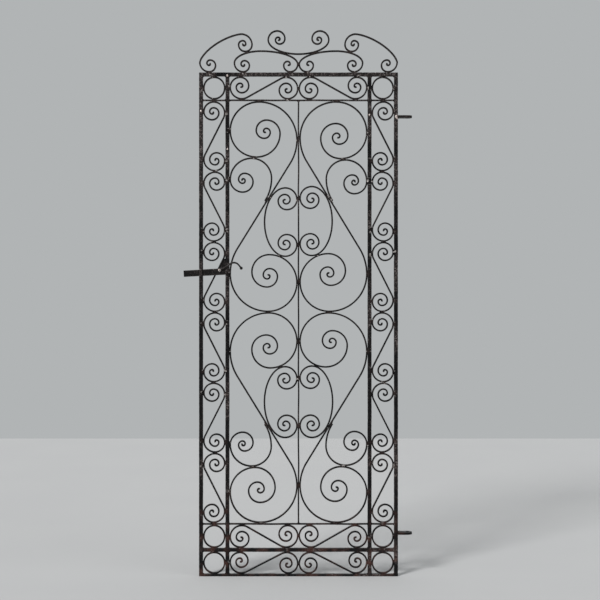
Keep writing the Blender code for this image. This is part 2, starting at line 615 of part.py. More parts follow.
# ---- crest ----------------------------------------------------------------------------------
def make_crest():
    """Two long arches stand on the top rail, two horns stand on its ends and lean on the
    arches, and the crown, a wide open C, rests on both arches."""
    ground = GATE_HEIGHT + TOUCH
    half = GATE_WIDTH / 2

    foot_x = -ARCH_FOOT_OUT * half
    top_x = -ARCH_TOP_OUT * half
    foot = (foot_x, ground + ARCH_FOOT_TURNS[0])
    arch_top = GATE_HEIGHT + CREST_ARCH_HIGH
    rise = quarter(foot, UP, RIGHTWARD, arch_top - foot[1], top_x - foot_x)
    middle = (-MEET, ground + ARCH_MIDDLE_TURNS[0])
    fall = quarter((top_x, arch_top), RIGHT, RIGHTWARD, middle[0] - top_x, arch_top - middle[1])
    arch = join(reverse(spiral(foot, DOWN, LEFTWARD, ARCH_FOOT_TURNS)), rise, fall,
                spiral(middle, DOWN, RIGHTWARD, ARCH_MIDDLE_TURNS))

    horn_foot = (-half + SCROLL_THICK / 2, ground + HORN_TURNS[0])
    horn_top_x = -HORN_TOP_OUT * half

    def horn(top):
        back = quarter(horn_foot, UP, RIGHTWARD, top - horn_foot[1], horn_top_x - horn_foot[0],
                       HORN_FULLNESS)
        return join(reverse(spiral(horn_foot, DOWN, LEFTWARD, HORN_TURNS)), back,
                    spiral((horn_top_x, top), RIGHT, RIGHTWARD, HORN_CURL_TURNS))

    horn_rows = seat(horn, arch, arch_top + 2 * HORN_CURL_TURNS[0], arch_top)

    def crown(bottom):
        tip = (-CROWN_SPREAD, bottom + CROWN_DISH)
        bowl = quarter(tip, DOWN, LEFTWARD, CROWN_DISH, CROWN_SPREAD)
        left_half = join(reverse(spiral(tip, UP, RIGHTWARD, CROWN_TURNS)), bowl)
        return join(left_half, reverse(mirror_x(left_half)))

    crown_rows = seat(crown, arch, arch_top + CROWN_DISH, middle[1])
    for side in ("latch", "hinge"):
        for name, rows in (("crest_horn", horn_rows), ("crest_arch", arch)):
            add_scroll("%s_%s" % (name, side), mirror_x(rows) if side == "hinge" else rows)
    add_scroll("crest_crown", crown_rows)


# ---- latch ----------------------------------------------------------------------------------
def latch_level():
    """Height of the latch's pivot, set by the side scroll that its gusset is fitted against."""
    (high, _) = side_scroll(LATCH_SCROLL)[1]
    return high[1] - LATCH_BELOW


def make_latch():
    """A flat bar that lies across both stiles on the front, turns on a bolt through the inner
    stile, rests in a guide on the outer one and is lifted by a curled handle."""
    level = latch_level()
    pivot = bpy.data.objects.new("latch_pivot", None)
    pivot.location = (PIVOT_X, 0, level)
    bpy.context.collection.objects.link(pivot)
    back = -HALF_DEEP - FIT_GAP
    front = back - LATCH_THICK

    # the bar droops towards its tip, which is square; its other end is round about the pivot
    half = LATCH_HIGH / 2
    end = circle((0, 0), half, 12, -UP, math.pi)
    outline = end + [(-LATCH_LENGTH, half), (-LATCH_LENGTH, -half)]
    turn = np.array([[math.cos(LATCH_DROOP), math.sin(LATCH_DROOP)],
                     [-math.sin(LATCH_DROOP), math.cos(LATCH_DROOP)]])
    centre = np.array([PIVOT_X, level])
    placed = [tuple(centre + np.array(point) @ turn) for point in outline]
    bar = add_plate("latch_bar", placed, "Y", front, back, WORN_PAINT, pivot)
    hole = PIVOT_RADIUS + PIVOT_CLEAR
    cut(bar, add_turned("bar_pivot_hole", centre, [(front - half, hole), (back + half, hole)]))
    rivet_at = centre + np.array([-RIVET_INSET, RIVET_HEAD]) @ turn
    tight = RIVET_RADIUS + FIT_GAP
    cut(bar, add_turned("bar_rivet_hole", rivet_at, [(front - half, tight), (back + half, tight)]))

    # the handle climbs from its riveted pad, curls over and ends in a knob
    stem = bend(rivet_at - np.array([TAIL_PAD, 0]), TAIL_SLOPE, *TAIL_STEM)
    curl = bend(ahead_of(stem[-1], TAIL_RISE), stem[-1, 2], *TAIL_CURL)
    tip = ahead_of(curl[-1], TAIL_TIP)
    rows = np.vstack([stem, curl, [(*tip, curl[-1, 2])]])
    length = np.linalg.norm(np.diff(rows[:, :2], axis=0), axis=1).sum()
    pad_share = TAIL_PAD / length
    thick = TAIL_PAD_THICK / 2
    stations = [(place * pad_share, TAIL_PAD * wide, thick) for place, wide in TAIL_PAD_SHAPE]
    stations.append((TAIL_SHOULDER * pad_share, TAIL_RADIUS, (TAIL_RADIUS + thick) / 2))
    knob_share = TAIL_KNOB / length
    for share in np.linspace(TAIL_STEM_START * pad_share, 1 - 2 * knob_share, 11):
        taper = TAIL_RADIUS + (TAIL_NECK_RADIUS - TAIL_RADIUS) * share
        stations.append((share, taper, taper))
    for angle in np.radians((150, 120, 90, 60, 35, 15)):
        ball = TAIL_KNOB * math.sin(angle)
        stations.append((1 - (1 - math.cos(angle)) * knob_share, ball, ball))
    tail = add_rod("latch_tail", rows, stations, front - FIT_GAP, WORN_PAINT, pivot)
    cut(tail, add_turned("tail_rivet_hole", rivet_at, [(front - half, tight), (back + half, tight)]))
    face = front - FIT_GAP - TAIL_PAD_THICK - FIT_GAP
    dome = [(face - RIVET_HEAD_HIGH * high, RIVET_HEAD * wide) for high, wide in DOME]
    shank = [(face, RIVET_HEAD), (face, RIVET_RADIUS), (back, RIVET_RADIUS)]
    add_turned("latch_rivet", rivet_at, dome + shank, BARE_IRON, pivot, 16)

    # the pivot bolt's domed head is on the front, its nut behind the stile
    head_back = front - FIT_GAP
    nut_front = HALF_DEEP + FIT_GAP
    nut_back = nut_front + NUT_HIGH
    dome = [(head_back - PIVOT_HEAD_HIGH * high, PIVOT_HEAD * wide) for high, wide in DOME]
    shank = [(head_back, PIVOT_HEAD), (head_back, PIVOT_RADIUS),
             (nut_back + PIVOT_HEAD_HIGH / 2, PIVOT_RADIUS)]
    add_turned("latch_pivot_bolt", centre, dome + shank, WORN_PAINT, sides=20)
    hexagon = circle(centre, NUT_ACROSS / 2 / math.cos(math.pi / 6), 6)
    nut = add_plate("latch_pivot_nut", hexagon, "Y", nut_front, nut_back, WORN_PAINT)
    thread = PIVOT_RADIUS + FIT_GAP
    cut(nut, add_turned("nut_thread", centre, [(nut_front - half, thread), (nut_back + half, thread)]))

    # the guide's legs stop the bar at rest and at full lift
    reach = BAY_OUTER + (BAR_WIDE + GUIDE_WIDE) / 2 + PIVOT_X
    rest = half / math.cos(LATCH_DROOP) + reach * math.tan(LATCH_DROOP) + FIT_GAP
    climb = LATCH_LIFT - LATCH_DROOP
    lifted = half / math.cos(climb) + reach * math.tan(climb) + FIT_GAP
    inner_y = front - GUIDE_PLAY
    outer_y = inner_y - GUIDE_LEG
    foot_y = -HALF_DEEP - FIT_GAP
    shape = [(foot_y, level - rest - GUIDE_LEG), (foot_y, level - rest), (inner_y, level - rest),
             (inner_y, level + lifted), (foot_y, level + lifted), (foot_y, level + lifted + GUIDE_LEG),
             (outer_y, level + lifted + GUIDE_LEG), (outer_y, level - rest - GUIDE_LEG)]
    middle = -(BAY_OUTER + BAR_WIDE / 2)
    add_plate("latch_guide", shape, "X", middle - GUIDE_WIDE / 2, middle + GUIDE_WIDE / 2)

    # the gusset fills the wedge between the side scroll's diagonal and the inner stile
    high, low = side_scroll(LATCH_SCROLL)[1]
    run = (low - high) / np.linalg.norm(low - high)
    edge = -BAY_INNER - FIT_GAP

    def diagonal_x(z):
        return high[0] + (z - high[1]) * run[0] / run[1] + TOUCH / abs(run[1])

    foot = high[1] - GUSSET_HIGH
    wedge = [(diagonal_x(foot), foot), (edge, foot), (edge, high[1])]
    if diagonal_x(high[1]) < edge:
        wedge.append((diagonal_x(high[1]), high[1]))
    add_plate("latch_gusset", wedge, "Y", -GUSSET_THICK / 2, GUSSET_THICK / 2)


# ---- hinges ---------------------------------------------------------------------------------
def make_hinges():
    """Two flat straps that stand out from the hinge stile and end in upright pin eyes."""
    inner = OUTER_FACE + FIT_GAP
    centre = (OUTER_FACE + HINGE_REACH, 0)
    for name, level in (("top", GATE_HEIGHT - HINGE_TOP_DROP), ("bottom", HINGE_BOTTOM_LEVEL)):
        outline = [(inner, HINGE_END), (inner, -HINGE_END)] + circle(centre, HINGE_END, 12, -UP, math.pi)
        strap = add_plate("hinge_eye_" + name, outline, "Z",
                          level - HINGE_THICK / 2, level + HINGE_THICK / 2, WORN_PAINT)
        bore = circle(centre, HINGE_BORE, 20)
        cut(strap, add_plate("hinge_bore_" + name, bore, "Z", level - HINGE_THICK, level + HINGE_THICK))


clear_scene()
make_frame()
make_side_scrolls()
make_rows()
make_panel()
make_crest()
make_latch()
make_hinges()
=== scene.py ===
# %% [markdown]
# # A wrought-iron garden gate, forged bar by bar
#
# The gate is a frame of square bar filled with flat bar that has been bent cold round a scroll
# former. Every piece is welded to its neighbours and then painted black again and again over
# the years. The packed model gives the true places; here each bar is made again with rounded
# arrises, hammer marks, weld beads and old paint.

# %% Load the gate as a fixed frame
import math

import bpy
import numpy as np
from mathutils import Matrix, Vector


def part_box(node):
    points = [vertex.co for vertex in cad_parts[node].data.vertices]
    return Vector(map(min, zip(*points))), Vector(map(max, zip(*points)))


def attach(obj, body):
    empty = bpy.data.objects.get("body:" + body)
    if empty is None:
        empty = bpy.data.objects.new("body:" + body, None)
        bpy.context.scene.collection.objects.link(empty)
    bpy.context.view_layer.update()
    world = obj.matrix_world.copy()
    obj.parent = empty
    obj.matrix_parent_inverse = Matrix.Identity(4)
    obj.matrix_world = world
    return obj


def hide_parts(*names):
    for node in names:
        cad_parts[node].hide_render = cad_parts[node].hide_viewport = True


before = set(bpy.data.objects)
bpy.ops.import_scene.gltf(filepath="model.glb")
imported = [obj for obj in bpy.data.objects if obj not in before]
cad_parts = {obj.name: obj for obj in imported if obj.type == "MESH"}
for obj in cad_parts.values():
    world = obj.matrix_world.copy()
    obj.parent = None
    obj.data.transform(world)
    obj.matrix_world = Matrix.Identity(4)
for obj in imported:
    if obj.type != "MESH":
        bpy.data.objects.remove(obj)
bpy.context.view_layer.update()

# %% [markdown]
# ## Where the bars stand
#
# The corners of the frame's own solids give every height and width that the scrolls have to
# fit between, so nothing here is measured twice. Only the bar that the scrolls are bent from
# and the radii of their spirals are new numbers.

# %% Read the frame's sizes off its solids
box = {name: np.array([list(corner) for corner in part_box(name)]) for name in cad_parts}

BAY_OUTER = box["outer_stile_hinge"][0, 0]
OUTER_FACE = box["outer_stile_hinge"][1, 0]
PANEL_EDGE = box["inner_stile_hinge"][0, 0]
BAY_INNER = box["inner_stile_hinge"][1, 0]
PANEL_FLOOR = box["lower_thin_rail"][1, 2]
PANEL_CEILING = box["upper_thin_rail"][0, 2]
PANEL_MIDDLE = (PANEL_FLOOR + PANEL_CEILING) / 2
GATE_HEIGHT = box["top_rail"][1, 2]
CENTRE_BAR_WIDE = box["centre_bar"][1, 0] * 2
BAR_DEEP = np.ptp(box["top_rail"][:, 1])
SCROLL_DEEP = np.ptp(box["crest_crown"][:, 1])
SCROLL_THICK = 0.0050
FIT_GAP = 0.0003
TOUCH = SCROLL_THICK / 2 + FIT_GAP
MEET = (SCROLL_THICK + FIT_GAP) / 2
UP, DOWN, RIGHT, LEFT = math.pi / 2, -math.pi / 2, 0.0, math.pi
LEFTWARD, RIGHTWARD = 1, -1
print("panel %.4f to %.4f, bay %.4f to %.4f" % (PANEL_FLOOR, PANEL_CEILING, BAY_INNER, BAY_OUTER))

# %% [markdown]
# ## Centre lines
#
# A smith draws a scroll full size and bends the bar to the line. A line here is an array of
# rows: x, z and the way the bar runs there. Arcs of shrinking radius make a spiral, and the
# two spirals of an S are joined by arc, straight and opposite arc. A free curve could be a
# Bezier, but arcs keep the even bends that a former gives.

# %% Bends and quarter curves
PACE = 0.0020                # distance between rows along a bend


def bend(start, heading, radius, sweep):
    """Circle of the given radius about a centre square to the heading, walked through sweep."""
    side = math.copysign(1, sweep)
    centre_x = start[0] - radius * side * math.sin(heading)
    centre_z = start[1] + radius * side * math.cos(heading)
    way = heading + sweep * np.linspace(0, 1, max(6, math.ceil(radius * abs(sweep) / PACE)) + 1)
    return np.column_stack([centre_x + radius * side * np.sin(way),
                            centre_z - radius * side * np.cos(way), way])


def quarter(start, heading, turn, along, across, fullness=2.0):
    """Quarter of a Lame curve: (u / along)^fullness + (v / across)^fullness = 1."""
    t = np.linspace(0, math.pi / 2, math.ceil(1.6 * max(along, across) / PACE))
    power = 2 / fullness
    ahead = along * np.sin(t) ** power
    aside = across * (1 - np.cos(t) ** power) * turn
    way = np.arctan2(across * np.cos(t) ** (power - 1) * np.sin(t),
                     along * np.sin(t) ** (power - 1) * np.cos(t))
    return np.column_stack([start[0] + ahead * math.cos(heading) - aside * math.sin(heading),
                            start[1] + ahead * math.sin(heading) + aside * math.cos(heading),
                            heading + turn * way])


print("a quarter turn of 30 mm radius has", len(bend((0, 0), RIGHT, 0.030, math.pi / 2)), "rows")

# %% [markdown]
# Bars that run on from each other become one line, and a line can be walked from its other
# end or mirrored. The heading is turned along with the places, so a line stays whole.

# %% Join a line, turn it round, mirror it
def ahead_of(row, run):
    """The point a straight run on from a row: place + run * (cos heading, sin heading)."""
    return row[0] + run * math.cos(row[2]), row[1] + run * math.sin(row[2])


def join(first, *others):
    """Bars that run on from each other; the shared point is kept once."""
    return np.vstack([first] + [rows[1:] for rows in others])


def reverse(rows):
    """The same bar walked from its other end, so every heading turns by half a turn."""
    return np.column_stack([rows[::-1, 0], rows[::-1, 1], rows[::-1, 2] + math.pi])


def mirror_x(rows, about=0.0):
    """Left for right: x becomes 2 * about - x, and the heading becomes pi - heading."""
    return np.column_stack([2 * about - rows[:, 0], rows[:, 1], math.pi - rows[:, 2]])


def mirror_z(rows, about):
    """Top for bottom: z becomes 2 * about - z, and the heading becomes its opposite."""
    return np.column_stack([rows[:, 0], 2 * about - rows[:, 1], -rows[:, 2]])


rising = np.array([(0, 0, UP), (0, 0.1, UP)])
print("a bar that heads 90 degrees, turned round, heads %.0f" % math.degrees(reverse(rising)[0, 2]))

# %% [markdown]
# A spiral is a chain of quarter turns that tighten, ended by a short tight eye. The bar
# between the two spirals of an S leaves one circle and meets the other without a kink, so it
# lies on the tangent that crosses between the circles.

# %% Spirals and the diagonal of an S
EYE_THICKS, EYE_SHARE, EYE_SWEEP = 0.30, 0.35, math.radians(120)


def spiral(start, heading, turn, radii):
    """Quarter turns one after another, each with its own radius, then the tight eye."""
    eye = EYE_THICKS * SCROLL_THICK + EYE_SHARE * radii[-1]
    rows = np.array([[start[0], start[1], heading]])
    for radius, sweep in [(radius, math.pi / 2) for radius in radii] + [(eye, EYE_SWEEP)]:
        rows = join(rows, bend(rows[-1, :2], rows[-1, 2], radius, turn * sweep))
    return rows


def crossing(start, heading, turn, first_radius, end, last_radius):
    """Arc, straight, opposite arc; the straight is the two circles' inner common tangent."""
    ahead = np.array([math.cos(heading), math.sin(heading)])
    aside = np.array([-math.sin(heading), math.cos(heading)]) * turn
    gap = np.subtract(end, start)
    across = gap @ aside - first_radius - last_radius
    apart = math.hypot(across, gap @ ahead)
    sweep = math.atan2(across, gap @ ahead) + math.asin((first_radius + last_radius) / apart)
    first = bend(start, heading, first_radius, turn * sweep)
    far = ahead_of(first[-1], math.sqrt(apart ** 2 - (first_radius + last_radius) ** 2))
    last = bend(far, first[-1, 2], last_radius, -turn * sweep)
    return np.vstack([first, last]), (first[-1, :2], np.array(far))


print("the eye turns on by %.0f degrees" % math.degrees(EYE_SWEEP))

# %% [markdown]
# A scroll that rests on a curve has no rail to tell it where to stop, so its place is found
# as a smith finds it: it is moved until it first touches, then tried by halves.

# %% Seat one scroll against another
def clearance(rows, others, skip=3):
    """Least distance between two lines: every third point of one to the flats of the other."""
    def to_flats(points, line):
        a = line[:-1, None, :2]
        step = line[1:, None, :2] - a
        share = ((points[None, :, :2] - a) * step).sum(-1) / (step ** 2).sum(-1)
        nearest = a + np.clip(share, 0, 1)[..., None] * step
        return np.linalg.norm(points[None, :, :2] - nearest, axis=-1).min()
    return min(to_flats(rows[::skip], others[::skip]), to_flats(others[::skip], rows[::skip]))


def seat(shape, other, free, far, places=49, halvings=12):
    """Moves a value from free towards far until shape(value) first touches other."""
    target = SCROLL_THICK + FIT_GAP
    values = np.linspace(free, far, places)
    reached = next(k for k, value in enumerate(values) if clearance(shape(value), other) < target)
    free, touching = values[max(reached - 1, 0)], values[reached]
    for _ in range(halvings):
        middle = (free + touching) / 2
        if clearance(shape(middle), other) > target:
            free = middle
        else:
            touching = middle
    return shape(free)


print("a seated bar is %.1f mm from the next, middle to middle" % (1000 * (SCROLL_THICK + FIT_GAP)))

# %% [markdown]
# ## The small scrolls
#
# Both side bays hold a stack of six S-scrolls whose diagonals zigzag, and the three rows each
# hold a pair lying down. All of them came off one former, so one list of radii serves them.

# %% Shapes of the small scrolls
SIDE_SCROLLS = 6
SMALL_STEP = 0.070           # each quarter turn is tighter by this share of the width
SMALL_TURNS = 7


def small_radii(span):
    """First radius fills half the span and half a step more; each next one is a step less."""
    return span * (1 + SMALL_STEP) / 2 - span * SMALL_STEP * np.arange(SMALL_TURNS)


def upright_s(left, right, floor, ceiling):
    """Spiral, falling diagonal, spiral: the S that stands in a side bay."""
    radii = small_radii(right - left)
    upper, lower = (right, ceiling - radii[0]), (left, floor + radii[0])
    diagonal, straight = crossing(upper, DOWN, RIGHTWARD, radii[0], lower, radii[0])
    top = reverse(spiral(upper, UP, LEFTWARD, radii))
    return join(top, diagonal, spiral(lower, DOWN, LEFTWARD, radii)), straight


def lying_s(left, right, floor, ceiling):
    """The same S laid in a row: its diagonal climbs to the right."""
    radii = small_radii(ceiling - floor)
    near, far = (left + radii[0], floor), (right - radii[0], ceiling)
    diagonal, _ = crossing(near, RIGHT, LEFTWARD, radii[0], far, radii[0])
    return join(reverse(spiral(near, LEFT, RIGHTWARD, radii)), diagonal,
                spiral(far, RIGHT, RIGHTWARD, radii))


def side_scroll(number):
    """Line and straight of one S in the latch side's bay, counted down from 0."""
    pitch = (PANEL_CEILING - PANEL_FLOOR) / SIDE_SCROLLS
    ceiling = PANEL_CEILING - number * pitch - (TOUCH if number == 0 else MEET)
    floor = PANEL_CEILING - (number + 1) * pitch + (TOUCH if number == SIDE_SCROLLS - 1 else MEET)
    rows, straight = upright_s(-BAY_OUTER + TOUCH, -BAY_INNER - TOUCH, floor, ceiling)
    return (mirror_x(rows, -(BAY_OUTER + BAY_INNER) / 2) if number % 2 else rows), straight


print("side scroll radii in mm", np.round(small_radii(BAY_OUTER - BAY_INNER - 2 * TOUCH) * 1000, 1))

# %% Lines of the small scrolls
lines = {}
for number in range(SIDE_SCROLLS):
    rows, _ = side_scroll(number)
    lines["side_scroll_latch_%d" % (number + 1)] = rows
    lines["side_scroll_hinge_%d" % (number + 1)] = mirror_x(rows)

row_edges = {"top": (box["upper_thin_rail"][1, 2], box["top_rail"][0, 2]),
             "middle": (box["lower_rail"][1, 2], box["lower_thin_rail"][0, 2]),
             "bottom": (box["bottom_rail"][1, 2], box["lower_rail"][0, 2])}
for name, (floor, ceiling) in row_edges.items():
    rows = lying_s(-PANEL_EDGE + TOUCH, -MEET, floor + TOUCH, ceiling - TOUCH)
    if name == "middle":
        rows = mirror_z(rows, (floor + ceiling) / 2)
    lines["row_scroll_%s_latch" % name] = rows
    lines["row_scroll_%s_hinge" % name] = mirror_x(rows)
print(len(lines), "small scrolls")

# %% [markdown]
# ## The middle panel
#
# Each quarter of the panel holds three scrolls: a big S, a spur that hangs under its head,
# and a heart scroll between its diagonal and the centre bar. The big ones were coiled by eye,
# so each has its own radii, given as shares of the quarter's width.

# %% Radii of the panel's scrolls
HEAD_TURNS = {"upper_latch": (0.570, 0.430, 0.396, 0.351, 0.203, 0.154, 0.120, 0.090, 0.060, 0.040),
              "upper_hinge": (0.540, 0.460, 0.390, 0.300, 0.226, 0.180, 0.130, 0.100, 0.065, 0.045),
              "lower_latch": (0.550, 0.450, 0.373, 0.300, 0.225, 0.172, 0.133, 0.100, 0.060, 0.040),
              "lower_hinge": (0.550, 0.450, 0.385, 0.305, 0.215, 0.178, 0.133, 0.100, 0.060, 0.040)}
TAIL_TURNS = {"upper_latch": (0.565, 0.435, 0.415, 0.260, 0.225, 0.158, 0.118, 0.095, 0.060, 0.040),
              "upper_hinge": (0.560, 0.440, 0.425, 0.255, 0.220, 0.160, 0.115, 0.090, 0.060, 0.040),
              "lower_latch": (0.575, 0.425, 0.400, 0.276, 0.218, 0.166, 0.118, 0.095, 0.060, 0.040),
              "lower_hinge": (0.575, 0.425, 0.385, 0.322, 0.222, 0.150, 0.115, 0.090, 0.060, 0.040)}
SPUR_TURNS = (0.320, 0.187, 0.155, 0.127, 0.090, 0.060, 0.039, 0.030)
HEART_CLEAR = 0.280
HEART_TURNS = (0.246, 0.215, 0.182, 0.140, 0.112, 0.087, 0.059)
HEAD_NECK, HIP_NECK, SPUR_SHOULDER = 0.263, 0.284, 0.900
print("each big scroll has %d quarter turns at its head" % len(HEAD_TURNS["upper_latch"]))

# %% [markdown]
# The big S is drawn first. Its diagonal then says how much room is left on either side: the
# spur's shoulder and the heart's back each take their radius from that room, and both are
# moved until they just touch the big scroll.

# %% One quarter of the panel
def panel_quadrant(head_turns, tail_turns):
    """Lines of the big scroll, the spur and the heart of one quarter, as its upper left one."""
    left, right = -PANEL_EDGE + TOUCH, -CENTRE_BAR_WIDE / 2 - TOUCH
    wide = right - left
    ceiling, floor = PANEL_CEILING - TOUCH, PANEL_MIDDLE + MEET
    neck, hip = (right, ceiling - head_turns[0] * wide), (left, floor + tail_turns[0] * wide)
    head = spiral(neck, UP, LEFTWARD, np.multiply(head_turns, wide))
    tail = spiral(hip, DOWN, LEFTWARD, np.multiply(tail_turns, wide))
    tall = neck[1] - hip[1]
    fullest = (wide ** 2 + tall ** 2) / (2 * wide)
    diagonal, (high, low) = crossing(neck, DOWN, RIGHTWARD, HEAD_NECK * fullest,
                                     hip, HIP_NECK * fullest)
    run = (low - high) / np.linalg.norm(low - high)
    outward = np.array([run[1], -run[0]])
    upright, lean = abs(outward[0]), outward[1]

    def spur(crest_z):
        crest = np.array([left + SPUR_TURNS[0] * wide, crest_z])
        curl = spiral(crest, LEFT, LEFTWARD, np.multiply(SPUR_TURNS, wide))
        room = (crest - high) @ outward - SCROLL_THICK - FIT_GAP
        shoulder = bend(crest, RIGHT, SPUR_SHOULDER * room / (1 + lean), -math.pi / 2)
        spare = (shoulder[-1, :2] - high) @ outward - SCROLL_THICK - FIT_GAP
        run_out = bend(shoulder[-1, :2], DOWN, spare / (1 - upright), -math.acos(upright))
        return join(reverse(curl), shoulder, run_out)

    chin = ceiling - (head_turns[1] + head_turns[2]) * wide
    spur_rows = seat(spur, head, chin - 3 * SCROLL_THICK, chin + SCROLL_THICK)

    top = high[1] - (HEART_CLEAR * wide + (right - high[0]) * outward[0]) / lean
    space = top - floor - (tail_turns[1] + tail_turns[2]) * wide
    radii = np.multiply(HEART_TURNS, wide * space / math.hypot(wide, space))
    axis_x = right - radii[0]

    def heart(bottom):
        half = (top - bottom) / 2
        room = (high - np.array([axis_x, top - half])) @ outward - SCROLL_THICK - FIT_GAP
        back = math.sqrt(room ** 2 - (half * lean) ** 2) / upright
        first = quarter((axis_x, top), LEFT, LEFTWARD, back, half)
        second = quarter(first[-1, :2], DOWN, LEFTWARD, half, back)
        return join(reverse(spiral((axis_x, top), RIGHT, RIGHTWARD, radii)), first, second,
                    spiral((axis_x, bottom), RIGHT, LEFTWARD, radii))

    heart_rows = seat(heart, tail, top - 4 * radii[0], floor)
    return join(reverse(head), diagonal, tail), spur_rows, heart_rows


# %% Lines of the panel's scrolls
for quadrant in HEAD_TURNS:
    found = panel_quadrant(HEAD_TURNS[quadrant], TAIL_TURNS[quadrant])
    for name, rows in zip(("big_scroll", "spur_scroll", "heart_scroll"), found):
        rows = mirror_z(rows, PANEL_MIDDLE) if quadrant.startswith("lower") else rows
        lines[name + "_" + quadrant] = mirror_x(rows) if quadrant.endswith("hinge") else rows
print(len(lines), "scrolls with the panel's")

# %% [markdown]
# ## The crest
#
# On the top rail stand two long arches that meet in the middle, two horns lean on them from
# the corners, and the crown, a wide open C, sits on both arches.

# %% Radii and spans of the crest
HORN_TURNS = (0.0312, 0.0209, 0.0183, 0.0105, 0.0070)
HORN_CURL_TURNS = (0.0354, 0.0223, 0.0223, 0.0136, 0.0103, 0.0060)
ARCH_FOOT_TURNS = (0.0292, 0.0206, 0.0166, 0.0113, 0.0075)
ARCH_MIDDLE_TURNS = (0.0250, 0.0216, 0.0130, 0.0083)
CROWN_TURNS = (0.0299, 0.0256, 0.0179, 0.0136, 0.0090, 0.0060)
CREST_ARCH_HIGH, CROWN_SPREAD, CROWN_DISH = 0.0716, 0.1007, 0.0470
HORN_FULLNESS = 1.5
ARCH_FOOT_OUT, ARCH_TOP_OUT, HORN_TOP_OUT = 0.645, 0.378, 0.575
print("the arches rise %.1f mm over the top rail" % (1000 * CREST_ARCH_HIGH))

# %% Shapes of the crest
ground = GATE_HEIGHT + TOUCH
foot = (-ARCH_FOOT_OUT * OUTER_FACE, ground + ARCH_FOOT_TURNS[0])
top_x, arch_top = -ARCH_TOP_OUT * OUTER_FACE, GATE_HEIGHT + CREST_ARCH_HIGH
middle = (-MEET, ground + ARCH_MIDDLE_TURNS[0])
arch = join(reverse(spiral(foot, DOWN, LEFTWARD, ARCH_FOOT_TURNS)),
            quarter(foot, UP, RIGHTWARD, arch_top - foot[1], top_x - foot[0]),
            quarter((top_x, arch_top), RIGHT, RIGHTWARD, middle[0] - top_x, arch_top - middle[1]),
            spiral(middle, DOWN, RIGHTWARD, ARCH_MIDDLE_TURNS))
horn_foot = (-OUTER_FACE + SCROLL_THICK / 2, ground + HORN_TURNS[0])
horn_top_x = -HORN_TOP_OUT * OUTER_FACE


def horn(top):
    """Foot spiral, flattened quarter up to the top, and the curl that comes down again."""
    back = quarter(horn_foot, UP, RIGHTWARD, top - horn_foot[1], horn_top_x - horn_foot[0],
                   HORN_FULLNESS)
    return join(reverse(spiral(horn_foot, DOWN, LEFTWARD, HORN_TURNS)), back,
                spiral((horn_top_x, top), RIGHT, RIGHTWARD, HORN_CURL_TURNS))


def crown(bottom):
    """Half an ellipse for the bowl, and a spiral that rolls outwards and in at each end."""
    tip = (-CROWN_SPREAD, bottom + CROWN_DISH)
    bowl = quarter(tip, DOWN, LEFTWARD, CROWN_DISH, CROWN_SPREAD)
    half = join(reverse(spiral(tip, UP, RIGHTWARD, CROWN_TURNS)), bowl)
    return join(half, reverse(mirror_x(half)))


# %% Lines of the crest
lines["crest_arch_latch"] = arch
lines["crest_arch_hinge"] = mirror_x(arch)
lines["crest_horn_latch"] = seat(horn, arch, arch_top + 2 * HORN_CURL_TURNS[0], arch_top)
lines["crest_horn_hinge"] = mirror_x(lines["crest_horn_latch"])
lines["crest_crown"] = seat(crown, arch, arch_top + CROWN_DISH, middle[1])
print(len(lines), "scrolls in all; the crest's top is at %.4f" % lines["crest_crown"][:, 1].max())

# %% [markdown]
# ## Rings and straight bars
#
# A ring stands in each row of each side bay. The frame's bars are straight lines, taken from
# their solids' boxes. Where one bar is welded to another it runs a little way into it, so no
# slit shows between them.

# %% Lines of the rings
def even(rows, pace):
    """Rows at equal steps along the line: x, z and unwrapped heading against arc length."""
    steps = np.hypot(*np.diff(rows[:, :2], axis=0).T)
    keep = np.concatenate([[True], steps > 1e-7])
    rows, steps = rows[keep], steps[steps > 1e-7]
    along = np.concatenate([[0], np.cumsum(steps)])
    stops = np.linspace(0, along[-1], math.ceil(along[-1] / pace) + 1)
    headings = np.unwrap(rows[:, 2])
    return np.column_stack([np.interp(stops, along, rows[:, 0]),
                            np.interp(stops, along, rows[:, 1]),
                            np.interp(stops, along, headings)])


def ring_line(low, high):
    """Ellipse inside a box, half a bar in, begun at one corner of the way round."""
    half_wide, half_high = (high - low)[[0, 2]] / 2 - SCROLL_THICK / 2
    count = math.ceil(2 * math.pi * half_wide / PACE)
    t = math.pi / 4 + np.linspace(0, 2 * math.pi, count, endpoint=False)
    centre = (low + high) / 2
    return np.column_stack([centre[0] + half_wide * np.cos(t), centre[2] + half_high * np.sin(t),
                            np.unwrap(np.arctan2(half_high * np.cos(t), -half_wide * np.sin(t)))])


ring_names = [name for name in box if name.startswith("ring_")]
for name in ring_names:
    lines[name] = ring_line(*box[name])

print(len(ring_names), "rings")

# %% Lines of the frame
WELD_IN = 0.0015             # how far a straight bar runs into the one it is welded to
STILE_ROUND = 0.0014         # an outer stile's ends are rounded off inside its own height
THICK_BAR = 0.0060           # anything wider than this is the frame's square bar
uprights = ["outer_stile_latch", "outer_stile_hinge", "inner_stile_latch", "inner_stile_hinge",
            "centre_bar"]
rails = ["top_rail", "bottom_rail", "lower_rail", "upper_thin_rail", "lower_thin_rail"]
straight_bars = {}
for name in uprights + rails:
    low, high = box[name]
    middle_x, middle_z = (low[0] + high[0]) / 2, (low[2] + high[2]) / 2
    run_in = -STILE_ROUND if name.startswith("outer") else WELD_IN
    if name in uprights:
        rows = np.array([(middle_x, low[2] - run_in, UP), (middle_x, high[2] + run_in, UP)])
        straight_bars[name] = (rows, high[0] - low[0], high[1] - low[1])
    else:
        rows = np.array([(low[0] - run_in, middle_z, RIGHT), (high[0] + run_in, middle_z, RIGHT)])
        straight_bars[name] = (rows, high[2] - low[2], high[1] - low[1])
print(len(straight_bars), "straight bars")

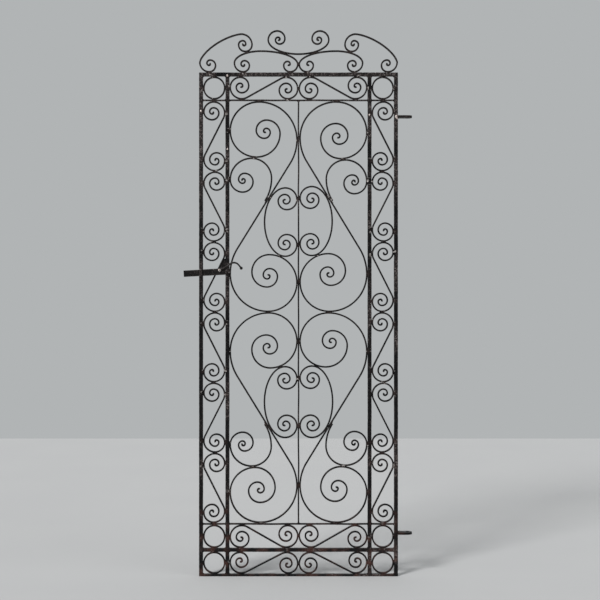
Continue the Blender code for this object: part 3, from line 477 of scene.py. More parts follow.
# %% [markdown]
# ## Where the welds are
#
# A weld sits wherever two bars touch. The touching places are looked for instead of listed:
# the distance from every point of one line to every point of another falls below the two half
# thicknesses, and the nearest point of each such stretch gets a bead.

# %% How two lines are compared
SLACK = 0.0009               # two bars nearer than this count as touching


def touching_places(rows, half, others, other_half):
    """Point, heading and run of each stretch where the distance stays under the half widths."""
    apart = np.linalg.norm(rows[:, None, :2] - others[None, :, :2], axis=-1)
    nearest = apart.min(axis=1)
    close = nearest < half + other_half + FIT_GAP + SLACK
    if not close.any():
        return []
    edges = np.flatnonzero(np.diff(np.concatenate([[0], close.astype(int), [0]])))
    found = []
    for start, stop in edges.reshape(-1, 2):
        at = start + int(nearest[start:stop].argmin())
        other = others[apart[at].argmin()]
        share = half / (half + other_half)
        place = rows[at, :2] + (other[:2] - rows[at, :2]) * share
        found.append((place[0], place[1], rows[at, 2], (stop - start) * PACE))
    return found


def boxes_meet(a, b, room=0.02):
    """Whether two lines come near enough in x and in z to be worth comparing."""
    return np.all(a[:, :2].min(0) - room < b[:, :2].max(0)) and np.all(
        b[:, :2].min(0) - room < a[:, :2].max(0))


# %% Find the touching places
stepped = {name: even(rows, PACE) for name, rows in lines.items()}
half_of = {name: SCROLL_THICK / 2 for name in stepped}
scroll_names = list(stepped)
for name, (rows, wide, deep) in straight_bars.items():
    stepped[name] = even(rows, PACE)
    half_of[name] = wide / 2
places = {name: [] for name in scroll_names}
for number, name in enumerate(scroll_names):
    for other in list(stepped)[number + 1:]:
        if boxes_meet(stepped[name], stepped[other]):
            places[name] += touching_places(stepped[name], half_of[name],
                                            stepped[other], half_of[other])
weld_points = np.array([place for found in places.values() for place in found])
print(len(weld_points), "touching places")

# %% [markdown]
# ## Forging a bar
#
# One function makes every bar. A rounded rectangle is carried along the centre line; hammer
# marks dent its surface; and each end is closed by a few shrinking copies and one last face.
# The hammer marks are a sum of waves, long ones along the bar and whole numbers of waves round
# it, so that the pattern closes on itself. Their crests are cut off flat, as the anvil does.

# %% A bar's section
def rounded_section(wide, deep, corner, flats=3, arcs=3):
    """Rectangle with round corners: corner centre + corner radius * (cos, sin), flats shared.

    Returns the offsets, the outward directions, and how near each point is to an arris."""
    turn = np.arange(4)[:, None] * math.pi / 2
    angle = turn + np.linspace(0, math.pi / 2, arcs + 1)
    centre = np.stack([np.sign(np.cos(turn + math.pi / 4)) * (wide / 2 - corner),
                       np.sign(np.sin(turn + math.pi / 4)) * (deep / 2 - corner)], axis=-1)
    outward = np.stack([np.cos(angle), np.sin(angle)], axis=-1)
    round_points = centre + corner * outward
    after = np.roll(round_points[:, 0], -1, axis=0)
    share = (np.arange(1, flats) / flats)[None, :, None]
    flat_points = round_points[:, -1:, :] * (1 - share) + after[:, None, :] * share
    flat_outward = np.repeat(outward[:, -1:, :], flats - 1, axis=1)
    points = np.concatenate([round_points, flat_points], axis=1).reshape(-1, 2)
    normals = np.concatenate([outward, flat_outward], axis=1).reshape(-1, 2)
    arris = np.concatenate([np.ones(arcs + 1), np.zeros(flats - 1)])
    return points, normals, np.tile(arris, 4)


print("a section has", len(rounded_section(0.005, 0.009, 0.001)[0]), "points")

# %% Hammer marks
MARK_CREST = 0.8             # where the crests are cut off, against a typical height of one


def hammer_marks(along, around, size, seed, waves=16):
    """Sum of sines: sin(2 pi s / length + count * angle + phase), scaled to about one."""
    rng = np.random.default_rng(seed)
    length = size * rng.uniform(0.7, 2.4, waves)
    count = rng.integers(-4, 5, waves)
    phase = rng.uniform(0, 2 * math.pi, waves)
    total = np.zeros((len(along), len(around)))
    for wave in range(waves):
        total += np.sin(2 * math.pi * along[:, None] / length[wave]
                        + count[wave] * around[None, :] + phase[wave])
    return total / math.sqrt(waves)


def lengths_along(rows):
    """Length walked from the first row to each row: the sum of the straight steps between."""
    return np.concatenate([[0], np.cumsum(np.hypot(*np.diff(rows[:, :2], axis=0).T))])


sample = hammer_marks(np.linspace(0, 0.5, 400), np.linspace(0, 6, 24), 0.01, 0)
print("hammer marks run from %.1f to %.1f before the cut" % (sample.min(), sample.max()))

# %% [markdown]
# A long bar is never quite straight, so its line may wander a little between its ends. An
# end is rounded off by three copies of the section, each further out and a little smaller.

# %% Forge a bar
def forge(rows, section, depth=0.0, marks=0.00012, mark_size=0.010, seed=0, closed=False,
          end_round=0.0010, widen=None, deepen=None, wander=0.0):
    """Carries a section along rows: place + a * (-sin, cos) across the plane + b through it.

    a and b are the section's offsets, scaled by widen and deepen at each row, and moved
    along its outward direction by the hammer marks. Returns a grid of points and the arris."""
    points, normals, arris = section
    steps = lengths_along(rows)
    widen = np.ones(len(rows)) if widen is None else widen
    deepen = np.ones(len(rows)) if deepen is None else deepen
    inset = np.zeros(len(rows))
    if wander:
        rng = np.random.default_rng(seed + 7)
        ends = np.clip(np.minimum(steps, steps[-1] - steps) / 0.05, 0, 1)
        drift = sum(np.sin(2 * math.pi * steps / rng.uniform(0.09, 0.3) + rng.uniform(0, 6.28))
                    for _ in range(4)) * wander / 2 * ends
        rows = rows + np.column_stack([-np.sin(rows[:, 2]), np.cos(rows[:, 2]),
                                       np.zeros(len(rows))]) * drift[:, None]
    if not closed:
        angle = np.radians([80, 60, 35])
        out, shrink = end_round * np.sin(angle), end_round * (1 - np.cos(angle))
        first = [(*ahead_of(rows[0], -run), rows[0, 2]) for run in out]
        last = [(*ahead_of(rows[-1], run), rows[-1, 2]) for run in out[::-1]]
        rows = np.vstack([first, rows, last])
        steps = np.concatenate([-out, steps, steps[-1] + out[::-1]])
        inset = np.concatenate([shrink, inset, shrink[::-1]])
        widen = np.pad(widen, 3, mode="edge")
        deepen = np.pad(deepen, 3, mode="edge")
    around = np.linspace(0, 2 * math.pi, len(points), endpoint=False)
    dents = np.minimum(hammer_marks(steps, around, mark_size, seed), MARK_CREST)
    push = marks * dents - inset[:, None]
    a = points[:, 0] * widen[:, None] + normals[:, 0] * push
    b = points[:, 1] * deepen[:, None] + normals[:, 1] * push
    grid = np.stack([rows[:, :1] - np.sin(rows[:, 2:]) * a, depth + b,
                     rows[:, 1:2] + np.cos(rows[:, 2:]) * a], axis=-1)
    return grid, np.broadcast_to(arris, grid.shape[:2]), closed


short = forge(np.array([(0, 0, RIGHT), (0.1, 0, RIGHT)]), rounded_section(0.013, 0.013, 0.0017))
print("two rows and two rounded ends make a grid of", short[0].shape[:2])

# %% [markdown]
# ## From grids to meshes
#
# A piece is one or more grids of points. Neighbouring rows and columns make quads, columns
# close on themselves, and an open grid is closed by a face at each end. Two values go with
# every point for the paint to read: how near it is to an arris, and how near to a weld.

# %% Faces of a grid
def grid_faces(rows, columns, closed):
    """Corner numbers of the quads, and of the two end faces where the grid is open."""
    numbers = np.arange(rows * columns).reshape(rows, columns)
    ends = [] if closed else [numbers[0, ::-1], numbers[-1]]
    here = np.vstack([numbers, numbers[:1]]) if closed else numbers
    beside = np.roll(here, -1, axis=1)
    quads = np.stack([here[:-1], beside[:-1], beside[1:], here[1:]], axis=-1).reshape(-1, 4)
    return quads, ends


def volume(points, quads):
    """Signed volume of the quads' two triangles each, as seen from the first point."""
    a, b, c, d = (points[quads[:, k]] - points[0] for k in range(4))
    first, second = np.cross(b, c), np.cross(c, d)
    return (np.einsum("ij,ij->i", a, first) + np.einsum("ij,ij->i", a, second)).sum()


print("a grid of 4 by 8 has", len(grid_faces(4, 8, False)[0]), "quads and 2 end faces")

# %% How near a point is to a weld
WELD_REACH = 0.0085          # the paint has changed as far as this from a weld


def near_weld(points):
    """exp(-(distance to the nearest weld / reach)^2), counted in the gate's plane."""
    nearest = np.full(len(points), 9.0)
    for start in range(0, len(points), 4096):
        part = points[start:start + 4096]
        apart = np.hypot(part[:, 0, None] - weld_points[:, 0], part[:, 2, None] - weld_points[:, 1])
        nearest[start:start + 4096] = apart.min(axis=1)
    return np.exp(-(nearest / WELD_REACH) ** 2)


print("weld at its own place %.2f" % near_weld(np.insert(weld_points[:1, :2], 1, 0, axis=1))[0])

# %% [markdown]
# The grids of one piece go into one mesh. Whether a grid faces outwards shows in the sign of
# the volume it encloses; if that is negative, every face is turned round.

# %% Build a mesh from grids
def mesh_from(name, grids):
    """All the grids' points, quads and end faces as one mesh, with its two values a point."""
    corners, sizes, points, arris, first = [], [], [], [], 0
    for grid, edge, closed in grids:
        flat = grid.reshape(-1, 3)
        quads, ends = grid_faces(*grid.shape[:2], closed)
        if volume(flat, quads) < 0:
            quads, ends = quads[:, ::-1], [end[::-1] for end in ends]
        corners += [quads.ravel() + first] + [end + first for end in ends]
        sizes += [np.full(len(quads), 4)] + [np.array([len(end)]) for end in ends]
        points.append(flat)
        arris.append(np.asarray(edge).ravel())
        first += len(flat)
    corners, sizes = np.concatenate(corners), np.concatenate(sizes)
    points, arris = np.vstack(points), np.concatenate(arris)
    mesh = bpy.data.meshes.new(name)
    mesh.vertices.add(len(points))
    mesh.vertices.foreach_set("co", points.astype(np.float32).ravel())
    mesh.loops.add(len(corners))
    mesh.loops.foreach_set("vertex_index", corners.astype(np.int32))
    mesh.polygons.add(len(sizes))
    mesh.polygons.foreach_set("loop_start", (np.cumsum(sizes) - sizes).astype(np.int32))
    mesh.polygons.foreach_set("use_smooth", sizes == 4)
    for label, values in (("arris", arris), ("weld", near_weld(points))):
        layer = mesh.attributes.new(label, "FLOAT", "POINT")
        layer.data.foreach_set("value", values.astype(np.float32))
    mesh.update(calc_edges=True)
    return mesh


def add_piece(name, grids, finish, body="gate", stands_for=()):
    """Makes a piece of the grids, gives it its finish, ties it to its body and hides its solids."""
    mesh = mesh_from(name, grids)
    mesh.materials.append(finish)
    piece = bpy.data.objects.new(name, mesh)
    bpy.context.scene.collection.objects.link(piece)
    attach(piece, body)
    if stands_for:
        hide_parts(*stands_for)


# %% [markdown]
# ## Writing paint as arithmetic
#
# A material is a formula, so it is written as one. A small class wraps a socket; plus, minus
# and times on it add Math nodes, and one method adds any other node.

# %% A wire that does arithmetic
class Wire:
    """One value on its way through a material."""

    def __init__(self, tree, socket=None):
        self.tree = tree
        self.socket = socket

    def node(self, kind, settings=None, inputs=None, output=0):
        """Adds a shader node: its settings first, then the values or links of its sockets."""
        made = self.tree.nodes.new("ShaderNode" + kind)
        for key, value in (settings or {}).items():
            setattr(made, key, value)
        for key, value in (inputs or {}).items():
            if isinstance(value, Wire):
                self.tree.links.new(value.socket, made.inputs[key])
            else:
                made.inputs[key].default_value = value
        return Wire(self.tree, made.outputs[output])

    def math(self, operation, first, second=0.0):
        """Adds one Math node on two values."""
        return self.node("Math", {"operation": operation}, {0: first, 1: second})

    def __add__(self, other):
        return self.math("ADD", self, other)

    def __sub__(self, other):
        return self.math("SUBTRACT", self, other)

    def __rsub__(self, other):
        return self.math("SUBTRACT", other, self)

    def __mul__(self, other):
        return self.math("MULTIPLY", self, other)

    __radd__ = __add__
    __rmul__ = __mul__

    def step(self, low, high):
        """0 below low, 1 above high, and an S curve between."""
        return self.node("MapRange", {"interpolation_type": "SMOOTHSTEP"},
                         {"Value": self, "From Min": low, "From Max": high})

    def blend(self, first, second):
        """first where this is 0, second where it is 1; both are colours."""
        return self.node("Mix", {"data_type": "RGBA"}, {0: self, 6: first, 7: second}, output=2)


print("a wire can", ", ".join(word for word in vars(Wire) if not word.startswith("_")))

# %% [markdown]
# ## Old black paint
#
# The gate has many coats of black. On the square bars the iron under them is pitted, and their
# grey flecks are partly that pitting and partly painted glint. Towards the top more paint shows
# thin and more flecks show, and that is painted sheen. The scrolls are smoother and blacker.
# Round the welds and near the foot the paint has gone brown with rust, and the bright chips by
# the welds and on the arrises are painted highlights that stand in for glints. One function
# makes all the finishes, because they differ only in how much of each they show.

# %% Where the paint is worn, and where sheen and glints are painted
BROAD, PATCH, BLOTCH, PIT_CELL, FINE = 0.150, 0.034, 0.0090, 0.0052, 0.0016    # noise sizes


def wear(start, bare=0.3, flecks=0.3, fleck_size=0.0045, rust=0.3, foot_rust=0.6, rubbed=0.25, chips=0.5):
    """Masks from 0 to 1 for thin paint with painted sheen towards the top, grey flecks that are
    partly painted glint, rust, rubbed arrises and chips that are painted highlights.

    Each is a product of noises cut by steps, and of the arris and weld values. Also returns
    the patches, the height and the relief, which is the noises' sum less the chips."""
    place = start.node("TexCoord", output="Object")
    height = start.node("SeparateXYZ", inputs={0: place}, output="Z")
    arris = start.node("Attribute", {"attribute_name": "arris"}, output="Fac")
    weld = start.node("Attribute", {"attribute_name": "weld"}, output="Fac")

    def noise(size, detail=2.0, roughness=0.5, distortion=0.0):
        return start.node("TexNoise", inputs={"Vector": place, "Scale": 1 / size, "Detail": detail,
                                              "Roughness": roughness, "Distortion": distortion})

    broad, patchy = noise(BROAD), noise(PATCH, 3.0, 0.55)
    flecky, blotch, fine = noise(fleck_size, 4.0, 0.62, 0.4), noise(BLOTCH), noise(FINE, 3.0)
    cells = start.node("TexVoronoi", {"feature": "F1"}, {"Vector": place, "Scale": 1 / PIT_CELL})

    # Painted sheen: the height term makes more paint go thin, and more grey flecks show, towards the top.
    thin_and_sheen = ((broad + height.step(0.7, 1.75) * 0.14).step(0.52, 0.64) * bare
            + patchy.step(0.52, 0.64) * bare * 0.25)
    thin_and_sheen = thin_and_sheen.math("MINIMUM", thin_and_sheen, 1.0)
    # The grey flecks are partly pitted iron and partly painted glint, and they follow the painted sheen.
    fleck = flecky.step(0.53, 0.63) * (thin_and_sheen * 0.85 + 0.08) * flecks
    rusty = (weld * rust * patchy.step(0.38, 0.60)
             + (1 - height.step(0.02, 0.34)) * foot_rust * patchy.step(0.44, 0.66)
             + thin_and_sheen * flecky.step(0.45, 0.60) * rust)
    rusty = rusty.math("MINIMUM", rusty, 1.0)
    worn = arris * rubbed * patchy.step(0.42, 0.60)
    # Painted highlights: the bright chips by the welds and on the arrises stand in for glints, and fewer
    # are painted towards the foot.
    glint_by_height = height.step(0.15, 0.45) * 0.75 + 0.25
    chip = weld * blotch.step(0.60, 0.66) * flecky.step(0.44, 0.50) * glint_by_height * chips
    glint_on_arris = arris * flecky.step(0.66, 0.70) * patchy.step(0.5, 0.6) * 0.5
    chip = chip.math("MINIMUM", chip + glint_on_arris, 1.0)
    relief = flecky * 0.55 + fine * 0.20 + cells.step(0.0, 0.5) * 0.5 - chip * 0.3
    return thin_and_sheen, fleck, rusty, worn, chip, patchy, height, relief


print("noise sizes in mm:", [round(1000 * size, 1) for size in (BROAD, PATCH, BLOTCH, PIT_CELL, FINE)])

# %% [markdown]
# The colours are laid over each other: black, then paint gone thin with painted sheen towards
# the top, then rust (redder at the foot), grey flecks that are partly painted glint, rubbed
# arrises and bright chips that are painted highlights.

# %% The finish of painted iron
# The grey of the flecks is partly a painted glint, and the bright chipped colour is a painted highlight.
THIN_PAINT, FLECK_GLINT, RUBBED = (0.0095, 0.0078, 0.0078, 1), (0.135, 0.118, 0.115, 1), (0.045, 0.038, 0.036, 1)
FOOT_RUST, HIGH_RUST = (0.046, 0.017, 0.0115, 1), (0.026, 0.0125, 0.0095, 1)
PAINTED_GLINT = (0.72, 0.68, 0.65, 1)


def new_finish(name):
    """An empty material: itself, its shader, and a wire to start from."""
    material = bpy.data.materials.new(name)
    material.use_nodes = True
    return material, material.node_tree.nodes["Principled BSDF"], Wire(material.node_tree)


def connect(shader, wires):
    """Leads each named wire to the shader's socket of that name."""
    for socket, wire in wires.items():
        wire.tree.links.new(wire.socket, shader.inputs[socket])


def painted_iron(name, black=(0.0016, 0.0016, 0.0019), gloss=0.26, pits=0.00030, **amounts):
    """Colours blended one over another by their masks; roughness is gloss plus shares of them."""
    material, shader, start = new_finish(name)
    thin_and_sheen, fleck, rusty, worn, chip, patchy, height, relief = wear(start, **amounts)
    colour = thin_and_sheen.blend((*black, 1), THIN_PAINT)
    colour = rusty.blend(colour, height.step(0.10, 0.60).blend(FOOT_RUST, HIGH_RUST))
    colour = fleck.blend(colour, FLECK_GLINT)
    colour = worn.blend(colour, RUBBED)
    colour = chip.blend(colour, PAINTED_GLINT)
    rough = gloss + patchy * 0.14 + thin_and_sheen * 0.14 + rusty * 0.20 - worn * 0.06
    bump = start.node("Bump", inputs={"Strength": 0.9, "Distance": pits, "Height": relief})
    connect(shader, {"Base Color": colour, "Roughness": rough, "Metallic": chip * 0.3, "Normal": bump})
    shader.inputs["Specular IOR Level"].default_value = 0.16
    return material


print("thin paint returns %.1f %% of red light, a chip %.0f %%" % (100 * THIN_PAINT[0], 100 * PAINTED_GLINT[0]))

# %% [markdown]
# The same formula serves the whole gate. The square bars are the most pitted, the scrolls the
# smoothest, the crest takes the most weather, and hands have rubbed the latch.

# %% The gate's painted finishes
frame_paint = painted_iron("pitted black paint", bare=0.95, flecks=0.75, pits=0.00060, rust=0.45)
scroll_paint = painted_iron("smooth black paint", bare=0.45, flecks=0.20, fleck_size=0.0035,
                            pits=0.00018, rust=0.35)
crest_paint = painted_iron("weathered black paint", bare=0.60, flecks=0.30, fleck_size=0.0035,
                           pits=0.00022, rust=0.5)
# On the weld beads the bright chips of painted highlight are strongest.
weld_paint = painted_iron("paint over weld", black=(0.0045, 0.0036, 0.0034), bare=0.8, flecks=0.5,
                          rust=0.6, chips=1.0, pits=0.0006)
latch_iron = painted_iron("handled black paint", black=(0.0028, 0.0026, 0.0026), bare=0.35, flecks=0.4,
                          rust=0.35, rubbed=0.7, pits=0.00035)
hinge_iron = painted_iron("hinge black paint", black=(0.0028, 0.0026, 0.0026), bare=0.6, rust=0.6,
                          rubbed=0.5, foot_rust=0.5, pits=0.00035)
print("finishes:", [finish.name for finish in (frame_paint, scroll_paint, crest_paint, weld_paint,
                                                latch_iron, hinge_iron)])

# %% [markdown]
# The rivet on the latch has lost its paint and shines. A few drops of weld on the stiles take
# the same formula in a brighter colour, as painted highlights that stand in for glints. Bare
# iron is a metal with fine scratches, so it is its own short formula.

# %% The finish of bare iron
def bare_iron(name, bright, stained, metallic):
    """Bright metal blended to a stain by one noise; a finer one roughens it."""
    material, shader, start = new_finish(name)
    place = start.node("TexCoord", output="Object")
    marks = start.node("TexNoise", inputs={"Vector": place, "Scale": 900.0, "Detail": 3.0})
    stain = start.node("TexNoise", inputs={"Vector": place, "Scale": 260.0, "Detail": 2.0})
    bump = start.node("Bump", inputs={"Strength": 0.6, "Distance": 0.0002, "Height": marks})
    connect(shader, {"Base Color": stain.step(0.35, 0.65).blend(bright, stained),
                     "Roughness": marks * 0.35 + 0.14, "Normal": bump})
    shader.inputs["Metallic"].default_value = metallic
    return material


rivet_iron = bare_iron("bare iron", (0.46, 0.43, 0.41, 1), (0.24, 0.20, 0.18, 1), 0.95)
# Painted highlight: the bright colour of these weld drops stands in for glints.
glint_weld = bare_iron("weld with painted glint", (0.66, 0.60, 0.57, 1), (0.30, 0.23, 0.20, 1), 0.35)
print("bare finishes:", rivet_iron.name, "and", glint_weld.name)

# %% [markdown]
# ## The frame
#
# The stiles and thick rails are half-inch square bar, rounded at the arrises by rust and
# paint, with a lumpy face. The thin rails and the centre bar are lighter. The inner stiles
# are a shade thinner than the rail that crosses them, so the rail lies on top.

# %% Forge the frame
SHY = 0.94                   # how much of its depth an inner stile shows at the rail it crosses
BAR_PACE = 0.0024            # distance between rows along a straight bar
thick_bar = {"wander": 0.0002, "marks": 0.00017, "mark_size": 0.012, "end_round": STILE_ROUND}
thin_bar = {"wander": 0.00035, "marks": 0.00010, "mark_size": 0.009, "end_round": 0.0008}
for number, (name, (rows, wide, deep)) in enumerate(straight_bars.items()):
    thick = wide > THICK_BAR
    section = rounded_section(wide, deep * (SHY if name.startswith("inner") else 1),
                              min(wide, deep) * (0.13 if thick else 0.2), flats=8 if thick else 4)
    grid = forge(even(rows, BAR_PACE), section, seed=100 + number, **(thick_bar if thick else thin_bar))
    add_piece("bar_" + name, [grid], frame_paint, stands_for=[name])
print(len(straight_bars), "bars forged")

# %% [markdown]
# ## The scrolls and rings
#
# Flat bar bent round a former swells a little on the inside of the bend and thins on the
# outside, and its end is snubbed. The section stays one shape here; its width swells slightly
# over the last stretch, where the smith closed the eye.

# %% Forge the scrolls
SNUB = 0.020                 # length over which an end swells
COAT = 0.00020               # paint on each face; it bridges the hairline between two bars
scroll_section = rounded_section(SCROLL_THICK + 2 * COAT, SCROLL_DEEP + 2 * COAT, 0.0013)


def snubbed(rows, swell=0.16):
    """1 along the bar, rising smoothly by swell over the last SNUB at each end."""
    steps = lengths_along(rows)
    from_end = np.minimum(steps, steps[-1] - steps)
    t = np.clip(1 - from_end / SNUB, 0, 1)
    return 1 + swell * t * t * (3 - 2 * t)


for number, name in enumerate(scroll_names):
    ring = name in ring_names
    rows = lines[name] if ring else even(lines[name], PACE)
    grid = forge(rows, scroll_section, seed=300 + number, closed=ring, marks=0.00009,
                 mark_size=0.014, widen=None if ring else snubbed(rows), end_round=0.0011)
    add_piece("forged_" + name, [grid], crest_paint if name.startswith("crest") else scroll_paint,
              stands_for=[name])
print(len(scroll_names), "scrolls and rings forged")

# %% [markdown]
# ## The weld beads
#
# A bead is a lumpy drop of metal, longer along the bars than across. It is an ellipsoid with
# a few waves in its radius: many of them are needed, so each has only a few dozen faces.

# %% Lay the beads
def bead(x, z, heading, reach, half_wide, half_deep, seed, y=0.0):
    """Ellipsoid (reach cos, deep sin, wide sin) about a place, its radius waved by seed."""
    rng = np.random.default_rng(seed)
    down = np.linspace(0, math.pi, 9)[1:-1, None]
    around = np.linspace(0, 2 * math.pi, 10, endpoint=False)[None, :]
    lump = 1 + 0.13 * np.sin(2 * around + 3 * down + rng.uniform(0, 6.28)) \
        + 0.09 * np.sin(3 * around - 4 * down + rng.uniform(0, 6.28))
    along = reach * np.cos(down) * lump
    across = half_wide * np.sin(down) * np.cos(around) * lump
    through = half_deep * np.sin(down) * np.sin(around) * lump
    grid = np.stack([x + along * math.cos(heading) - across * math.sin(heading), y + through,
                     z + along * math.sin(heading) + across * math.cos(heading)], axis=-1)
    return grid, np.zeros(grid.shape[:2]), False


group_of = {"side": "bay", "ring": "row", "row_": "row", "big_": "panel", "spur": "panel",
            "hear": "panel", "cres": "crest"}
beads = {"bay": [], "row": [], "panel": [], "crest": [], "corner": []}
draw = np.random.default_rng(41)
for name, found in places.items():
    for x, z, heading, run in found:
        size = draw.uniform(0.8, 1.2)
        beads[group_of[name[:4]]].append(
            bead(x, z, heading, min(0.0045 + run * 0.22, 0.0095) * size, 0.0026 * size,
                 draw.uniform(0.0040, 0.0049), int(draw.integers(1 << 30))))
print({group: len(found) for group, found in beads.items()}, "beads on the scrolls and rings")

# %% [markdown]
# Where a rail meets a stile the weld lies in the corner, along the depth of the bars.

# %% Corner beads
def corner_bead(x, z, size, half_deep):
    """A bead as wide as long at a corner, turned any way."""
    beads["corner"].append(bead(x, z, draw.uniform(0, 3.1), size, size, half_deep,
                                int(draw.integers(1 << 30))))


for name in rails:
    rows, wide, deep = straight_bars[name]
    thick = wide > THICK_BAR
    stiles = [BAY_OUTER] if thick and name != "lower_rail" else [BAY_OUTER, BAY_INNER, PANEL_EDGE]
    for x in [side * value for value in stiles for side in (-1, 1)]:
        for z in (rows[0, 1] - wide / 2, rows[0, 1] + wide / 2):
            if 0.002 < z < GATE_HEIGHT - 0.002:
                corner_bead(x, z, draw.uniform(0.7, 1.15) * (0.0030 if thick else 0.0021), deep * 0.46)
for x in (-PANEL_EDGE, PANEL_EDGE, -BAY_INNER, BAY_INNER):
    for z in (box["top_rail"][0, 2], box["bottom_rail"][1, 2]):
        corner_bead(x, z, draw.uniform(0.0022, 0.0034), BAR_DEEP * 0.46)
for z in (PANEL_FLOOR, PANEL_CEILING):
    for side in (-1, 1):
        corner_bead(side * CENTRE_BAR_WIDE / 2, z, 0.0024, 0.0040)
print(len(beads["corner"]), "corner beads")

# %% [markdown]
# A few drops of weld on the front of the stiles carry painted highlights: their bright colour
# stands in for glints. They are the brightest spots on the gate: one where the latch side's
# inner stile meets the top rail, one by the first scroll, and two level with the upper hinge.

# %% Drops on the stiles with a painted glint
hinge_level = box["hinge_eye_top"][:, 2].mean()
inner_x, outer_x = (PANEL_EDGE + BAY_INNER) / 2, (BAY_OUTER + OUTER_FACE) / 2
drops = [(-inner_x, box["top_rail"][0, 2] + 0.002, 0.0032),     # x, z and size of each
         (-outer_x, PANEL_CEILING - 0.034, 0.0030), (outer_x + 0.001, hinge_level, 0.0046),
         (outer_x + 0.004, hinge_level - 0.006, 0.0026),
         (inner_x - 0.001, hinge_level + 0.006, 0.0028), (-inner_x, hinge_level - 0.108, 0.0024)]
add_piece("weld_drops_painted_glint", [bead(x, z, UP, size * 1.3, size, 0.0013, 700 + k, y=-BAR_DEEP / 2)
                              for k, (x, z, size) in enumerate(drops)], glint_weld)
print(len(drops), "bare drops")

# %% Weld pieces
for group, found in beads.items():
    add_piece("weld_beads_" + group, found, weld_paint)
print({group: len(found) for group, found in beads.items()}, "beads")

# %% [markdown]
# ## The latch
#
# A flat bar turns on a bolt through the inner stile, lies in a guide on the outer one, and
# is lifted by a curled handle that is riveted on. The bar is a loft: its half height follows
# a half circle at the pivot and is then even. The handle is a round rod whose width and depth
# change from a flat pad to a thin stem and a ball.

# %% Forge the latch bar
pivot = (box["latch_pivot_bolt"][0] + box["latch_pivot_bolt"][1])[[0, 2]] / 2
latch_front, latch_back = box["latch_bar"][:, 1]
LATCH_LENGTH, LATCH_HIGH, LATCH_DROOP = 0.145, 0.0220, math.radians(3.2)
heading = math.pi + LATCH_DROOP
half_high = LATCH_HIGH / 2
round_end = half_high * (1 - np.cos(np.linspace(0.16, math.pi / 2, 12)))
even_part = np.arange(half_high + BAR_PACE, half_high + LATCH_LENGTH, BAR_PACE)
stops = np.unique(np.concatenate([round_end, even_part, [half_high + LATCH_LENGTH - 0.0010]]) - half_high)
rows = np.column_stack([pivot[0] + stops * math.cos(heading), pivot[1] + stops * math.sin(heading),
                        np.full(len(stops), heading)])
tall = np.sqrt(1 - np.clip(-stops / half_high, 0, 1) ** 2)
tall = tall * (1 - 0.05 * np.clip(stops / LATCH_LENGTH, 0, 1))
section = rounded_section(LATCH_HIGH, latch_back - latch_front, 0.0013, flats=8)
grid = forge(rows, section, depth=(latch_front + latch_back) / 2, widen=tall, marks=0.00013,
             mark_size=0.016, seed=501, end_round=0.0009)
add_piece("forged_latch_bar", [grid], latch_iron, body="latch", stands_for=["latch_bar"])
print("latch bar: %d rows, %.0f mm from its pivot to its end" % (len(rows), 1000 * LATCH_LENGTH))

# %% The handle's line
TAIL_PAD, TAIL_PAD_THICK, TAIL_NECK, TAIL_KNOB = 0.0065, 0.0032, 0.0026, 0.0052
rivet_at = (box["latch_rivet"][0] + box["latch_rivet"][1])[[0, 2]] / 2
stem = bend(rivet_at - np.array([TAIL_PAD, 0]), math.radians(12), 0.080, math.radians(21))
curl = bend(ahead_of(stem[-1], 0.020), stem[-1, 2], 0.020, math.radians(-84))
tip = ahead_of(curl[-1], 0.019)
rows = even(np.vstack([stem, curl, [(*tip, curl[-1, 2])]]), 0.0007)
steps = lengths_along(rows)
length = steps[-1]
print("handle %.3f long" % length)

# %% [markdown]
# The rod's half width and half depth are read off a few places along it and smoothed. At the
# tip both give way to a circle, and the rod ends in a ball.

# %% Forge the handle
BALL_FROM = 1.8 * TAIL_KNOB  # the ball begins to show this far from the tip
pad_at = np.array([0.0, 0.15, 0.6, 1.2, 1.85, 2.4, 3.2]) * TAIL_PAD
pad_wide = np.array([0.35, 0.75, 1.0, 1.0, 0.88, 0.60, 0.51]) * TAIL_PAD
pad_deep = np.array([0.8, 1.0, 1.0, 1.0, 1.02, 1.50, 2.05]) * TAIL_PAD_THICK / 2
in_ball = np.clip(1 - ((length - TAIL_KNOB - steps) / TAIL_KNOB) ** 2, 0, 1)
ball = TAIL_KNOB * np.sqrt(in_ball)
ball[-1] = TAIL_KNOB * 0.12


def with_ball(half):
    """Interpolated, smoothed by a running mean of nine rows, and the greater of rod and ball."""
    rod = np.interp(steps, np.append(pad_at, length), np.append(half, TAIL_NECK))
    rod = np.convolve(np.pad(rod, 4, mode="edge"), np.ones(9) / 9, mode="valid")
    rod_or_ball = np.maximum(ball, np.where(steps < length - TAIL_KNOB, rod, 0))
    return np.where(steps > length - BALL_FROM, rod_or_ball, rod)


half_wide, half_deep = with_ball(pad_wide), with_ball(pad_deep)
around = np.linspace(0, 2 * math.pi, 24, endpoint=False)
marks = 1 + 0.03 * hammer_marks(steps, around, 0.012, 502)
a = half_wide[:, None] * np.cos(around) * marks
b = half_deep[:, None] * np.sin(around) * marks
tail_back = box["latch_tail"][1, 1]
grid = np.stack([rows[:, :1] - np.sin(rows[:, 2:]) * a, tail_back - half_deep[:, None] + b,
                 rows[:, 1:2] + np.cos(rows[:, 2:]) * a], axis=-1)
add_piece("forged_latch_tail", [(grid, np.full(grid.shape[:2], 0.35), False)], latch_iron,
          body="latch", stands_for=["latch_tail"])
print("handle %.1f mm wide at its pad" % (2000 * half_wide.max()))

# %% [markdown]
# Rivet, bolt and the bolt's end are turned shapes: a profile of distance against radius, spun
# about the line through the gate. The nut is the same with a radius that follows a hexagon,
# cut down to a circle at its two ends as a real nut's chamfer is.

